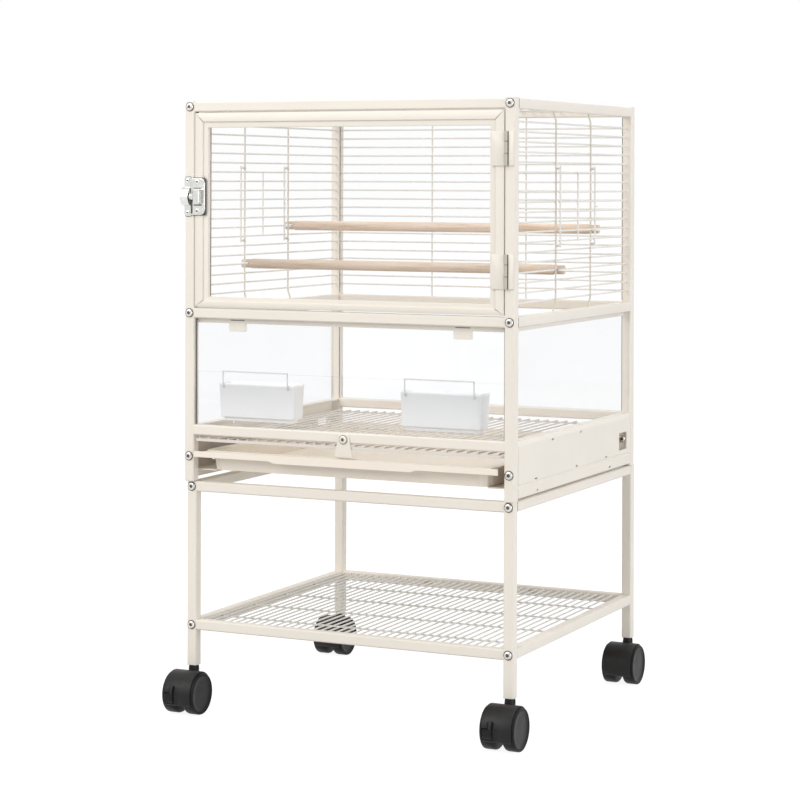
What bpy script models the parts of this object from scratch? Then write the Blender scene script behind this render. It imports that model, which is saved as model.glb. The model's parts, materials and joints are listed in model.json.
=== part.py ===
"""Parrot cage on a rolling stand: clear door and lower panes, wire sides, slide-out tray.

Metres, +Z up, front towards -Y. Sizes are named below; places are worked out from them.
"""

import math

import bpy
from mathutils import Matrix, Vector

# Overall sizes
CAGE_WIDTH = 0.437
CAGE_DEPTH = 0.405
TOTAL_HEIGHT = 0.747
STAND_TOP_Z = 0.2823
STAND_INSET = 0.0020
STAND_SETBACK = 0.0035
STAND_REAR_STEP = 0.0085

# Clearances
CLEAR = 0.0003
SLIDE_CLEAR = 0.0005
WELD = 0.002

# Tubes
TUBE = 0.0127
TUBE_CHAMFER = 0.0012
RAIL_RELIEF = 0.00025
SHELF_RAIL_Z = 0.10635
BOTTOM_RAIL_RISE = 0.06335
MID_RAIL_RISE = 0.1430

# Flange under the middle rails, with its two tabs at the front
FLANGE_DROP = 0.0058
FLANGE_SHEET = 0.0015
FLANGE_SETBACK = 0.0092
TAB_DROP = 0.0155
TAB_WIDTH = 0.0235
TAB_X = 0.1497

# Welded wires
WIRE_RADIUS = 0.0013
WIRE_LAP = 0.0005
WIRE_MARGIN = 0.0022
ROW_PITCH = 0.0117
FIRST_ROW_RISE = 0.0207
LAST_ROW_GAP = 0.0060
SIDE_ROW_STEP = 0.0055
SIDE_UPRIGHT_FRONT_Y = 0.140
SIDE_UPRIGHT_REAR_Y = 0.257
BACK_ROW_INSET = 0.0080
BACK_UPRIGHT_X = 0.0685
TOP_WIRE_DROP = 0.0050
TOP_WIRE_PITCH = 0.0132

# Sliding wire hatches in the sides
HATCH_FIRST_ROW = 6
HATCH_ROWS = 8
HATCH_GAP = 0.0011
HATCH_HOOK_WIRE = 0.0011
HATCH_HOOK_CLEAR = 0.0008
HATCH_HOOK_LAP = 0.0004
HATCH_HOOK_REACH = 0.0055
HATCH_GRIP_RISE = 0.0405
HATCH_GRIP_LENGTH = 0.0050

# Side housings, folded from sheet
HOUSING_SHEET = 0.0020
HOUSING_TOP_RISE = 0.00535
HOUSING_LIFT = 0.0032
HOUSING_FOLD_DROP = 0.0055
HOUSING_FOLD_IN = 0.0030
HOUSING_GROOVE_RISE = 0.0167
HOUSING_GROOVE_HALF = 0.0020
HOUSING_GROOVE_DEEP = 0.0009
GRATE_HEADROOM = 0.00175
GRATE_LEDGE_REACH = 0.0098
TRAY_LEDGE_RISE = 0.0147
TRAY_LEDGE_REACH = 0.0258
LEDGE_SHEET = 0.0015
SLOT_LENGTH = 0.0070
SLOT_HEIGHT = 0.0020
GROOVE_SLOT_RISE = 0.0040
GROOVE_SLOTS_Y = (0.068, 0.200, 0.303)
FOLD_SLOTS_Y = (0.120, 0.213)
FOOT_SLOTS_Y = (0.071, 0.316)
SCREW_WINDOW_INSET = 0.0270
SCREW_WINDOW_LENGTH = 0.0280
SCREW_WINDOW_BELOW = 0.0074
SCREW_WINDOW_ABOVE = 0.0146

# Clear panes
PANE = 0.0020
WINDOW_PANE_Y = 0.0010
GUARD_PANE_Y = 0.0060
GUARD_PANE_HEIGHT = 0.06545
SIDE_PANE_SETBACK = 0.0025
REAR_PANE_SETBACK = 0.0030
PANE_CORNER = 0.0030

# Front door
DOOR_SIDE_GAP = 0.0010
DOOR_BOTTOM_GAP = 0.0017
DOOR_TOP_GAP = 0.0015
DOOR_DEPTH = 0.0100
DOOR_BAND = 0.0110
DOOR_BAND_BOTTOM = 0.0075
DOOR_LIP = 0.0070
DOOR_LIP_BOTTOM = 0.0050
DOOR_LIP_SETBACK = 0.0020
DOOR_LIP_BACK = 0.0077
HINGE_HEIGHT = 0.0402
LOWER_HINGE_RISE = 0.05205
UPPER_HINGE_DROP = 0.04615
HINGE_KNUCKLE = 0.0022
HINGE_PIN = 0.0010
HINGE_BORE = 0.0014
HINGE_SHEET = 0.0012
HINGE_OUTSET = 0.0021
HINGE_DOOR_LEAF = 0.0188
HINGE_POST_LEAF = 0.0098
KNUCKLE_BREAKS = (0.36, 0.70)

# Latch: a sliding bolt with a thumb piece, and its keeper on the post
LATCH_RISE = 0.13625
LATCH_OVERHANG = 0.0029
LATCH_BODY_HEIGHT = 0.0450
LATCH_BODY_WIDTH = 0.0194
LATCH_BODY_DEPTH = 0.0030
LATCH_BODY_CORNER = 0.0060
LATCH_BODY_EASE = 0.0008
LATCH_GUIDE_LENGTH = 0.0063
LATCH_GUIDE_WALL = 0.0013
LATCH_SHEET = 0.0012
PLATE_CORNER_STEPS = 3
BOLT_RADIUS = 0.0021
BOLT_BORE = 0.0027
BOLT_SETBACK = 0.0050
BOLT_TRAVEL = 0.0070
THUMB_WIDTH = 0.0090
THUMB_HEIGHT = 0.0185
THUMB_FRONT = 0.0118
THUMB_WALL = 0.0014
THUMB_CORNER = 0.0020
THUMB_EASE = 0.0010
KEEPER_HEIGHT = 0.0481
KEEPER_WIDTH = 0.0090
KEEPER_CORNER = 0.0025
KEEPER_BARREL_HEIGHT = 0.0230
KEEPER_BARREL_WIDTH = 0.0106
KEEPER_BARREL_DEPTH = 0.0092
KEEPER_BARREL_STEPS = 8
KEEPER_SOCKET_DEPTH = 0.0068
KEEPER_SOCKET_HEIGHT = 0.0074

# Perches
PERCH_DIAMETER = 0.0110
PERCH_OVERHANG = 0.0025
PERCH_SLOT_CLEAR = 0.0004
PERCH_SIDES = 12
FRONT_PERCH_STEP = 0.0090
FRONT_PERCH_ROW = 3
REAR_PERCH_STEP = 0.0100
REAR_PERCH_ROW = 7

# Food and water cups
CUP_CENTRES_X = (-0.1255, 0.1196)
CUP_RISE = 0.00525
CUP_HEIGHT = 0.0470
CUP_WIDTH = 0.1030
CUP_DEPTH = 0.0300
CUP_TAPER = 0.0060
CUP_WALL = 0.0018
CUP_CORNER = 0.0060
CUP_FOOT_HEIGHT = 0.0045
CUP_FOOT_INSET = 0.0040
CUP_FLOOR = 0.0022
HANGER_SHEET = 0.0018
HANGER_LEG = 0.0060
HANGER_LEG_SPACING = 0.0888
HANGER_BAND = 0.0080
HANGER_LIP = 0.0085

# Floor grate
GRATE_SIDE_GAP = 0.0033
GRATE_WIRE_PITCH = 0.0132
GRATE_FRONT_Y = 0.0005
GRATE_REAR_GAP = 0.0043
GRATE_MIDDLE_Y = 0.1980
GRATE_END = 0.0030
GRATE_BAR_HEIGHT = 0.0036
GRATE_BAR_SHEET = 0.0015
GRATE_STRIP_X = (-0.060, 0.039)
GRATE_STRIP_DEPTH = 0.0080

# Tray
TRAY_SIDE_GAP = 0.0198
TRAY_DRAFT = 0.0030
TRAY_FRONT_Y = 0.0060
TRAY_REAR_GAP = 0.0083
TRAY_HEIGHT = 0.0240
TRAY_WALL = 0.0020
TRAY_CORNER = 0.0120
TRAY_RIM = 0.0080
LIP_SIDE_GAP = 0.0048
LIP_FRONT_Y = -0.0080
LIP_HEIGHT = 0.0075
LIP_SHEET = 0.0020
PULL_HALF_WIDTH = 0.0910
PULL_DROP = 0.0025
PULL_SLOPE = 0.0060

# Stop tab, which hangs in front of the grate
STOP_HALF_TOP = 0.0085
STOP_HALF_BOTTOM = 0.0120
STOP_PIVOT_DROP = 0.00165
STOP_ABOVE = 0.0080
STOP_BELOW = 0.0210
STOP_CORNER = 0.0025
STOP_SHEET = 0.0015
STOP_BORE = 0.0028

# Screws
SCREW_HEAD = 0.0048
SCREW_CROWN = 0.0031
SCREW_EDGE = 0.0009
SCREW_HEIGHT = 0.0022
SCREW_SHANK = 0.0019
SCREW_REACH = 0.0055
SCREW_BORE = 0.0024
SCREW_BORE_DEPTH = 0.0062
SCREW_SIDES = 6
HOUSING_SCREW_RISE = 0.0311

# Stand shelf
SHELF_WIRE_PITCH = 0.0106
SHELF_WIRE_RISE = 0.0034
SHELF_CROSS_FIRST_Y = 0.065
SHELF_CROSS_PITCH = 0.083
SHELF_CROSS_END = 0.030
OVAL_HOLES_X = (-0.073, 0.078, 0.170)
OVAL_LENGTH = 0.0120
OVAL_HEIGHT = 0.0050

# Casters
WHEEL_RADIUS = 0.0250
WHEEL_WIDTH = 0.0160
WHEEL_SIDES = 16
WHEEL_EDGE = 0.0020
WHEEL_CAP_REACH = 0.0028
HUB_RIM = 0.0035
HUB_DISH = 0.0012
AXLE_RADIUS = 0.0030
CASTER_TRAIL = 0.0160
CASTER_NECK = 0.0065
HOOD_CLEAR = 0.0006
HOOD_SHEET = 0.0013
HOOD_START = 12.0
HOOD_END = 206.0
HOOD_STEPS = 10
WEB_HALF_WIDTH = 0.0049
WEB_CLEAR = 0.0004
WEB_LOW_RADIUS = 0.0130
WEB_EASE = 1.0
COLLAR_RADIUS = 0.0065
COLLAR_TOP_RADIUS = 0.0052
COLLAR_TAPER = 0.0045
STEM_RADIUS = 0.0037
STEM_LENGTH = 0.0235
STEM_BORE = 0.0044
STEM_END_GAP = 0.0040
BRAKE_ARM_ANGLES = (153.0, 163.0, 173.0)
BRAKE_ARM_X = (-0.0090, -0.0048)
BRAKE_PEDAL_ANGLES = (174.0, 177.0, 180.0, 183.0, 186.0, 189.0, 192.0, 195.0, 198.0)
BRAKE_PEDAL_X = (-0.0160, -0.0045)
BRAKE_SHEET = 0.0018
BRAKE_RIB = 0.0008
BRAKE_SLOT_ANGLES = (170.0, 202.0)
BRAKE_SLOT_X = (-0.0172, 0.0015)
BRAKE_NECK_SLOT_ANGLES = (156.0, 172.0)
BRAKE_NECK_SLOT_X = (-0.0100, -0.0038)

# Colours: linear red, green, blue, then roughness and metallic value
CREAM = ((0.88, 0.80, 0.70), 0.42, 0.0)
WIRE_CREAM = ((0.70, 0.66, 0.60), 0.45, 0.0)
CLEAR_ACRYLIC = ((0.92, 0.95, 0.96), 0.05, 0.0)
CUP_WHITE = ((0.82, 0.82, 0.81), 0.30, 0.0)
CHROME = ((0.62, 0.61, 0.60), 0.18, 1.0)
BEECH = ((0.66, 0.47, 0.33), 0.55, 0.0)
TRAY_CREAM = ((0.86, 0.80, 0.72), 0.40, 0.0)
BLACK_PLASTIC = ((0.052, 0.050, 0.051), 0.40, 0.0)
TREAD_BLACK = ((0.075, 0.075, 0.078), 0.55, 0.0)

# Worked out from the sizes above
HALF_WIDTH = CAGE_WIDTH / 2
POST_X = HALF_WIDTH - TUBE / 2
POST_INNER_X = HALF_WIDTH - TUBE
POST_FRONT_Y = TUBE / 2
POST_REAR_Y = CAGE_DEPTH - TUBE / 2
POST_BOTTOM_Z = STAND_TOP_Z + CLEAR
RAIL = TUBE - 2 * RAIL_RELIEF
TOP_RAIL_Z = TOTAL_HEIGHT - TUBE / 2
BOTTOM_RAIL_Z = STAND_TOP_Z + BOTTOM_RAIL_RISE
MID_RAIL_Z = BOTTOM_RAIL_Z + MID_RAIL_RISE
STAND_RAIL_Z = STAND_TOP_Z - TUBE / 2
HOUSING_SCREW_Z = STAND_TOP_Z + HOUSING_SCREW_RISE
UPPER_SCREWS_Z = (TOP_RAIL_Z, MID_RAIL_Z, HOUSING_SCREW_Z)
STAND_SCREWS_Z = (STAND_RAIL_Z, SHELF_RAIL_Z)
LEG_X = HALF_WIDTH - STAND_INSET - TUBE / 2
LEG_BOTTOM_Z = 2 * WHEEL_RADIUS + CASTER_NECK
LEG_FRONT_Y = STAND_SETBACK + TUBE / 2
LEG_REAR_Y = CAGE_DEPTH + STAND_REAR_STEP - TUBE / 2
WIRE_STEP = 2 * WIRE_RADIUS - WIRE_LAP
FIRST_ROW_Z = MID_RAIL_Z + FIRST_ROW_RISE
ROW_SPACE = TOP_RAIL_Z - RAIL / 2 - LAST_ROW_GAP - FIRST_ROW_Z
ROW_COUNT = int(ROW_SPACE / ROW_PITCH) + 1
SIDE_ROW_X = POST_INNER_X + SIDE_ROW_STEP
BACK_ROW_Y = CAGE_DEPTH - BACK_ROW_INSET
TOP_WIRE_Z = TOTAL_HEIGHT - TOP_WIRE_DROP
HATCH_LAST_ROW = HATCH_FIRST_ROW + HATCH_ROWS - 1
HATCH_X = SIDE_ROW_X + 2 * WIRE_STEP + 2 * WIRE_RADIUS + HATCH_GAP
HATCH_HOOK_RADIUS = WIRE_RADIUS + HATCH_HOOK_WIRE + HATCH_HOOK_CLEAR
HATCH_HOOK_OUTER_X = HATCH_X - WIRE_RADIUS + HATCH_HOOK_LAP
HATCH_HOOK_CENTRE_X = HATCH_HOOK_OUTER_X - HATCH_HOOK_WIRE - HATCH_HOOK_RADIUS
HOUSING_TOP_Z = BOTTOM_RAIL_Z + HOUSING_TOP_RISE
HOUSING_BOTTOM_Z = STAND_TOP_Z + HOUSING_LIFT
HOUSING_GROOVE_Z = STAND_TOP_Z + HOUSING_GROOVE_RISE
GROOVE_SLOT_Z = HOUSING_GROOVE_Z + GROOVE_SLOT_RISE
GRATE_HEIGHT = CLEAR + 2 * WIRE_RADIUS + WIRE_STEP
GRATE_LEDGE_Z = BOTTOM_RAIL_Z - RAIL / 2 - GRATE_HEADROOM - GRATE_HEIGHT
GRATE_LEDGE_X = POST_INNER_X - GRATE_LEDGE_REACH
GRATE_HALF_WIDTH = POST_INNER_X - GRATE_SIDE_GAP
GRATE_REAR_Y = CAGE_DEPTH - TUBE - GRATE_REAR_GAP
TRAY_LEDGE_Z = STAND_TOP_Z + TRAY_LEDGE_RISE
TRAY_LEDGE_X = POST_INNER_X - TRAY_LEDGE_REACH
TRAY_HALF_WIDTH = POST_INNER_X - TRAY_SIDE_GAP
TRAY_REAR_Y = CAGE_DEPTH - TUBE - TRAY_REAR_GAP
TRAY_TOP_Z = TRAY_LEDGE_Z + TRAY_HEIGHT
LIP_HALF_WIDTH = POST_INNER_X - LIP_SIDE_GAP
GUARD_PANE_TOP_Z = BOTTOM_RAIL_Z + RAIL / 2 + CLEAR + GUARD_PANE_HEIGHT
CUP_BOTTOM_Z = BOTTOM_RAIL_Z + RAIL / 2 + CUP_RISE
CUP_FRONT_Y = GUARD_PANE_Y + PANE + 2 * SLIDE_CLEAR + HANGER_SHEET
CUP_CENTRE_Y = CUP_FRONT_Y + CLEAR + CUP_DEPTH / 2
STOP_PIVOT_Z = BOTTOM_RAIL_Z - STOP_PIVOT_DROP
HINGE_X = POST_INNER_X + HINGE_OUTSET
HINGE_Y = -CLEAR - HINGE_KNUCKLE
LOWER_HINGE_Z = MID_RAIL_Z + RAIL / 2 + LOWER_HINGE_RISE
UPPER_HINGE_Z = TOP_RAIL_Z - RAIL / 2 - UPPER_HINGE_DROP
LATCH_Z = MID_RAIL_Z + RAIL / 2 + LATCH_RISE
WHEEL_FRONT_Y = LEG_FRONT_Y - CASTER_TRAIL
WHEEL_REAR_Y = LEG_REAR_Y - CASTER_TRAIL
WHEEL_INNER_X = WEB_HALF_WIDTH + WEB_CLEAR
WHEEL_OUTER_X = WHEEL_INNER_X + WHEEL_WIDTH
HOOD_HALF_WIDTH = WHEEL_OUTER_X - WHEEL_CAP_REACH
HOOD_INNER = WHEEL_RADIUS + HOOD_CLEAR
HOOD_OUTER = HOOD_INNER + HOOD_SHEET
STEM_TOP_Z = LEG_BOTTOM_Z + STEM_LENGTH
BRAKE_INNER = HOOD_OUTER + CLEAR
FRONT_REACH = WHEEL_FRONT_Y - BRAKE_INNER - BRAKE_SHEET
REAR_REACH = WHEEL_REAR_Y + HOOD_OUTER * math.cos(math.radians(HOOD_START))
DEPTH_CENTRE = (FRONT_REACH + REAR_REACH) / 2


def clear_scene():
    for obj in list(bpy.data.objects):
        bpy.data.objects.remove(obj, do_unlink=True)


def place(axis, a, b, along):
    """A point from two values across an axis, in x, y, z order, and one along it."""
    if axis == "X":
        return Vector((along, a, b))
    if axis == "Y":
        return Vector((a, along, b))
    return Vector((a, b, along))


def outward(points, faces):
    """The closed shell with its faces turned to point out."""
    volume = 0.0
    for face in faces:
        for i in range(1, len(face) - 1):
            corner = points[face[i]].cross(points[face[i + 1]])
            volume += points[face[0]].dot(corner)
    if volume < 0:
        faces = [tuple(reversed(face)) for face in faces]
    return points, faces


def loft(rings, closed=False):
    """A shell through rings of equal length, capped at both ends or closed on itself."""
    size = len(rings[0])
    points = [Vector(point) for ring in rings for point in ring]
    faces = []
    for i in range(len(rings) if closed else len(rings) - 1):
        low = i * size
        high = (i + 1) % len(rings) * size
        for j in range(size):
            k = (j + 1) % size
            faces.append((low + j, low + k, high + k, high + j))
    if not closed:
        faces.append(tuple(reversed(range(size))))
        faces.append(tuple(range(len(points) - size, len(points))))
    return outward(points, faces)


def prism(outline, axis, start, end):
    """The outline, drawn straight along an axis from start to end."""
    return loft([[place(axis, a, b, along) for a, b in outline] for along in (start, end)])


def box(low, high):
    outline = [(low[0], low[1]), (high[0], low[1]), (high[0], high[1]), (low[0], high[1])]
    return prism(outline, "Z", low[2], high[2])


def span(a0, a1):
    return min(a0, a1), max(a0, a1)


def side_box(side, x_in, x_out, y0, y1, z0, z1):
    """A box on the left or the right, given by its distances from the middle plane."""
    low, high = span(side * x_in, side * x_out)
    return box((low, y0, z0), (high, y1, z1))


def circle(radius, sides, phase=0.0, centre=(0.0, 0.0)):
    angles = [math.radians(phase) + math.tau * i / sides for i in range(sides)]
    return [(centre[0] + radius * math.cos(t), centre[1] + radius * math.sin(t)) for t in angles]


def rounded_rectangle(width, height, radius, steps=2, centre=(0.0, 0.0)):
    points = []
    for quarter, (sx, sy) in enumerate(((1, 1), (-1, 1), (-1, -1), (1, -1))):
        cx = centre[0] + sx * (width / 2 - radius)
        cy = centre[1] + sy * (height / 2 - radius)
        for i in range(steps + 1):
            t = math.radians(90 * (quarter + i / steps))
            points.append((cx + radius * math.cos(t), cy + radius * math.sin(t)))
    return points


def square_section(size, chamfer, centre):
    half = size / 2
    near = half - chamfer
    corners = ((half, -near), (half, near), (near, half), (-near, half))
    corners += ((-half, near), (-half, -near), (-near, -half), (near, -half))
    return [(centre[0] + a, centre[1] + b) for a, b in corners]


def tube(axis, centre, start, end, size=TUBE):
    """A square tube with eased edges."""
    return prism(square_section(size, TUBE_CHAMFER, centre), axis, start, end)


def rod(axis, centre, start, end, radius, sides=8, phase=22.5):
    return prism(circle(radius, sides, phase, centre), axis, start, end)


def wire(axis, centre, start, end, radius=WIRE_RADIUS):
    """A thin wire of four faces, with its edges towards the wires that cross it."""
    return rod(axis, centre, start, end, radius, sides=4, phase=0.0)


def bent_wire(path, radius, sides=4):
    """A wire along points that lie in one plane."""
    path = [Vector(point) for point in path]
    steps = [(b - a).normalized() for a, b in zip(path, path[1:])]
    normal = Vector((0.0, 0.0, 1.0))
    rings = []
    for i, point in enumerate(path):
        before = steps[max(i - 1, 0)]
        after = steps[min(i, len(steps) - 1)]
        tangent = (before + after).normalized()
        side = normal.cross(tangent).normalized()
        stretch = 1 / max(tangent.dot(after), 0.5)
        ring = []
        for a, b in circle(radius, sides):
            ring.append(point + side * a * stretch + normal * b)
        rings.append(ring)
    return loft(rings)


def turned(axis, profile, sides, centre=(0.0, 0.0), phase=0.0):
    """A solid of revolution about an axis. The profile lists (radius, place along the axis)."""
    rings = []
    for radius, along in profile:
        rings.append([place(axis, a, b, along) for a, b in circle(radius, sides, phase, centre)])
    return loft(rings)


def arc(radius, start, end, steps, centre=(0.0, 0.0)):
    """Points on an arc, with angles in degrees."""
    angles = [math.radians(start + (end - start) * i / steps) for i in range(steps + 1)]
    return [(centre[0] + radius * math.cos(t), centre[1] + radius * math.sin(t)) for t in angles]


def mesh_from(name, shells):
    points = []
    faces = []
    for shell_points, shell_faces in shells:
        start = len(points)
        points += shell_points
        faces += [tuple(start + i for i in face) for face in shell_faces]
    mesh = bpy.data.meshes.new(name)
    mesh.from_pydata(points, [], faces)
    return mesh


def shell_of(mesh):
    """A mesh's points and faces, to join it with further shells."""
    return [vertex.co for vertex in mesh.vertices], [tuple(face.vertices) for face in mesh.polygons]


def helper(name, shells):
    obj = bpy.data.objects.new(name, mesh_from(name, shells))
    obj.hide_render = True
    obj.display_type = "WIRE"
    bpy.context.scene.collection.objects.link(obj)
    return obj


def combined(name, base, joins=(), cuts=()):
    """One mesh from groups of shells. The shells of one group lie clear of each other."""
    blank = helper(name + "_blank", base)
    helpers = [blank]
    for operation, groups in (("UNION", joins), ("DIFFERENCE", cuts)):
        for shells in groups:
            helpers.append(helper(f"{name}_{operation}_{len(helpers)}", shells))
            modifier = blank.modifiers.new(operation, "BOOLEAN")
            modifier.operation = operation
            modifier.solver = "EXACT"
            modifier.object = helpers[-1]
    graph = bpy.context.evaluated_depsgraph_get()
    mesh = bpy.data.meshes.new_from_object(blank.evaluated_get(graph))
    mesh.name = name
    for obj in helpers:
        bpy.data.objects.remove(obj, do_unlink=True)
    return mesh


def material(name, look):
    found = bpy.data.materials.get(name)
    if found:
        return found
    colour, roughness, metallic = look
    made = bpy.data.materials.new(name)
    made.use_nodes = True
    shader = made.node_tree.nodes["Principled BSDF"]
    shader.inputs["Base Color"].default_value = (*colour, 1.0)
    shader.inputs["Roughness"].default_value = roughness
    shader.inputs["Metallic"].default_value = metallic
    if look is CLEAR_ACRYLIC:
        shader.inputs["Transmission Weight"].default_value = 0.9
        shader.inputs["Alpha"].default_value = 0.3
    made.diffuse_color = (*colour, 1.0)
    return made


def add_part(name, mesh, look, origin=(0.0, 0.0, 0.0), smooth=False, parent=None):
    """An object whose mesh is given in the cage's frame, with its own origin and material."""
    mesh.transform(Matrix.Translation(-Vector(origin)))
    return add_copy(name, mesh, look, origin, smooth, parent)


def add_copy(name, mesh, look, location, smooth=False, parent=None):
    """An object whose mesh is given about its own origin."""
    if smooth:
        mesh.shade_smooth()
        mesh.set_sharp_from_angle(angle=math.radians(35))
    obj = bpy.data.objects.new(name, mesh)
    obj.location = location
    obj.parent = parent or bpy.data.objects["cage_origin"]
    bpy.context.scene.collection.objects.link(obj)
    if not mesh.materials:
        mesh.materials.append(material(name + "_finish", look))
    return obj


def row_z(row):
    return FIRST_ROW_Z + row * ROW_PITCH


def centred(half_width, pitch):
    """Places from the middle outwards, as many as lie within the half width."""
    count = int((half_width - WIRE_MARGIN) / pitch)
    return [pitch * i for i in range(-count, count + 1)]


def rail_low(z):
    return z - RAIL / 2


def rail_high(z):
    return z + RAIL / 2


def post_pair(y, bottom, top, x):
    return [tube("Z", (side * x, y), bottom, top) for side in (-1, 1)]


def cross_rails(y, heights, inner_x):
    reach = inner_x + WELD
    return [tube("X", (y, z), -reach, reach, RAIL) for z in heights]


def screw_profile(face_y, outwards):
    """Radius and y of a domed head that lies on a face."""
    edge = face_y + outwards * SCREW_EDGE
    crown = face_y + outwards * SCREW_HEIGHT
    return [(SCREW_HEAD, face_y), (SCREW_HEAD, edge), (SCREW_CROWN, crown)]


def fixed_heads(x, heights, face_y):
    """Screw heads at the back, joined to the tube that they clamp."""
    heads = []
    for z in heights:
        for side in (-1, 1):
            profile = [(SCREW_HEAD, face_y - WELD)] + screw_profile(face_y, 1)[1:]
            heads.append(turned("Y", profile, SCREW_SIDES, (side * x, z)))
    return heads


def screw_bores(x, heights, face_y):
    bores = []
    for z in heights:
        for side in (-1, 1):
            start = face_y - WELD
            end = face_y + SCREW_BORE_DEPTH
            bores.append(rod("Y", (side * x, z), start, end, SCREW_BORE, SCREW_SIDES, 0.0))
    return bores


def front_flange():
    """A strip under the middle rail with two tabs, behind the window pane."""
    z_top = rail_low(MID_RAIL_Z) + WELD
    z_strip = rail_low(MID_RAIL_Z) - FLANGE_DROP
    z_tab = rail_low(MID_RAIL_Z) - TAB_DROP
    half = POST_INNER_X - SLIDE_CLEAR
    outline = [(-half, z_top), (-half, z_strip)]
    for centre in (-TAB_X, TAB_X):
        low, high = centre - TAB_WIDTH / 2, centre + TAB_WIDTH / 2
        ease = TUBE_CHAMFER
        outline += [(low, z_strip), (low, z_tab + ease), (low + ease, z_tab)]
        outline += [(high - ease, z_tab), (high, z_tab + ease), (high, z_strip)]
    outline += [(half, z_strip), (half, z_top)]
    return prism(outline, "Y", FLANGE_SETBACK, FLANGE_SETBACK + FLANGE_SHEET)


def front_frame():
    posts = post_pair(POST_FRONT_Y, POST_BOTTOM_Z, TOTAL_HEIGHT, POST_X)
    rails = cross_rails(POST_FRONT_Y, (TOP_RAIL_Z, MID_RAIL_Z, BOTTOM_RAIL_Z), POST_INNER_X)
    bores = screw_bores(POST_X, UPPER_SCREWS_Z, 0.0)
    face = RAIL_RELIEF
    bores.append(rod("Y", (0.0, STOP_PIVOT_Z), face - WELD, face + SCREW_BORE_DEPTH, SCREW_BORE))
    mesh = combined("front_frame", posts, [rails, [front_flange()]], [bores])
    add_part("front_frame", mesh, CREAM)


def rear_frame():
    posts = post_pair(POST_REAR_Y, POST_BOTTOM_Z, TOTAL_HEIGHT, POST_X)
    rails = cross_rails(POST_REAR_Y, (TOP_RAIL_Z, MID_RAIL_Z, BOTTOM_RAIL_Z), POST_INNER_X)
    heads = fixed_heads(POST_X, UPPER_SCREWS_Z, CAGE_DEPTH)
    mesh = combined("rear_frame", posts, [rails, heads])
    add_part("rear_frame", mesh, CREAM)


def side_rows(side):
    """The wires that run front to back. Those at the hatch stop at the uprights."""
    front = TUBE + CLEAR
    rear = CAGE_DEPTH - TUBE - CLEAR
    rows = []
    for row in range(ROW_COUNT):
        centre = (side * SIDE_ROW_X, row_z(row))
        if HATCH_FIRST_ROW <= row <= HATCH_LAST_ROW:
            rows.append(wire("Y", centre, front, SIDE_UPRIGHT_FRONT_Y + WIRE_RADIUS))
            rows.append(wire("Y", centre, SIDE_UPRIGHT_REAR_Y - WIRE_RADIUS, rear))
        else:
            rows.append(wire("Y", centre, front, rear))
    return rows


def side_frame(name, side):
    """The top and middle rails of one side, with the wires welded between them."""
    front = TUBE + CLEAR
    rear = CAGE_DEPTH - TUBE - CLEAR
    rails = [tube("Y", (side * POST_X, z), front, rear, RAIL) for z in (TOP_RAIL_Z, MID_RAIL_Z)]
    low = rail_high(MID_RAIL_Z) - WELD
    high = rail_low(TOP_RAIL_Z) + WELD
    welded = []
    for y in (SIDE_UPRIGHT_FRONT_Y, SIDE_UPRIGHT_REAR_Y):
        welded.append(wire("Z", (side * (SIDE_ROW_X + WIRE_STEP), y), low, high))
    inner = POST_INNER_X + RAIL_RELIEF + TUBE_CHAMFER
    top = rail_low(MID_RAIL_Z) + WELD
    drop = rail_low(MID_RAIL_Z) - FLANGE_DROP
    welded.append(side_box(side, inner, inner + FLANGE_SHEET, front, rear, drop, top))
    add_part(name, combined(name, rails + side_rows(side), [welded]), CREAM)


def back_grille():
    half = POST_INNER_X - CLEAR
    rows = [wire("X", (BACK_ROW_Y, row_z(row)), -half, half) for row in range(ROW_COUNT)]
    low = rail_high(MID_RAIL_Z) + CLEAR
    high = rail_low(TOP_RAIL_Z) - CLEAR
    uprights = []
    for side in (-1, 1):
        uprights.append(wire("Z", (side * BACK_UPRIGHT_X, BACK_ROW_Y + WIRE_STEP), low, high))
    add_part("back_grille", combined("back_grille", rows, [uprights]), WIRE_CREAM)


def top_grille():
    front = TUBE - RAIL_RELIEF + CLEAR
    rear = CAGE_DEPTH - front
    half = POST_INNER_X + RAIL_RELIEF - CLEAR
    wires = [wire("Y", (x, TOP_WIRE_Z), front, rear) for x in centred(half, TOP_WIRE_PITCH)]
    cross = []
    for y in (SIDE_UPRIGHT_FRONT_Y, SIDE_UPRIGHT_REAR_Y):
        cross.append(wire("X", (y, TOP_WIRE_Z - WIRE_STEP), -half, half))
    add_part("top_grille", combined("top_grille", wires, [cross]), WIRE_CREAM)


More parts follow.
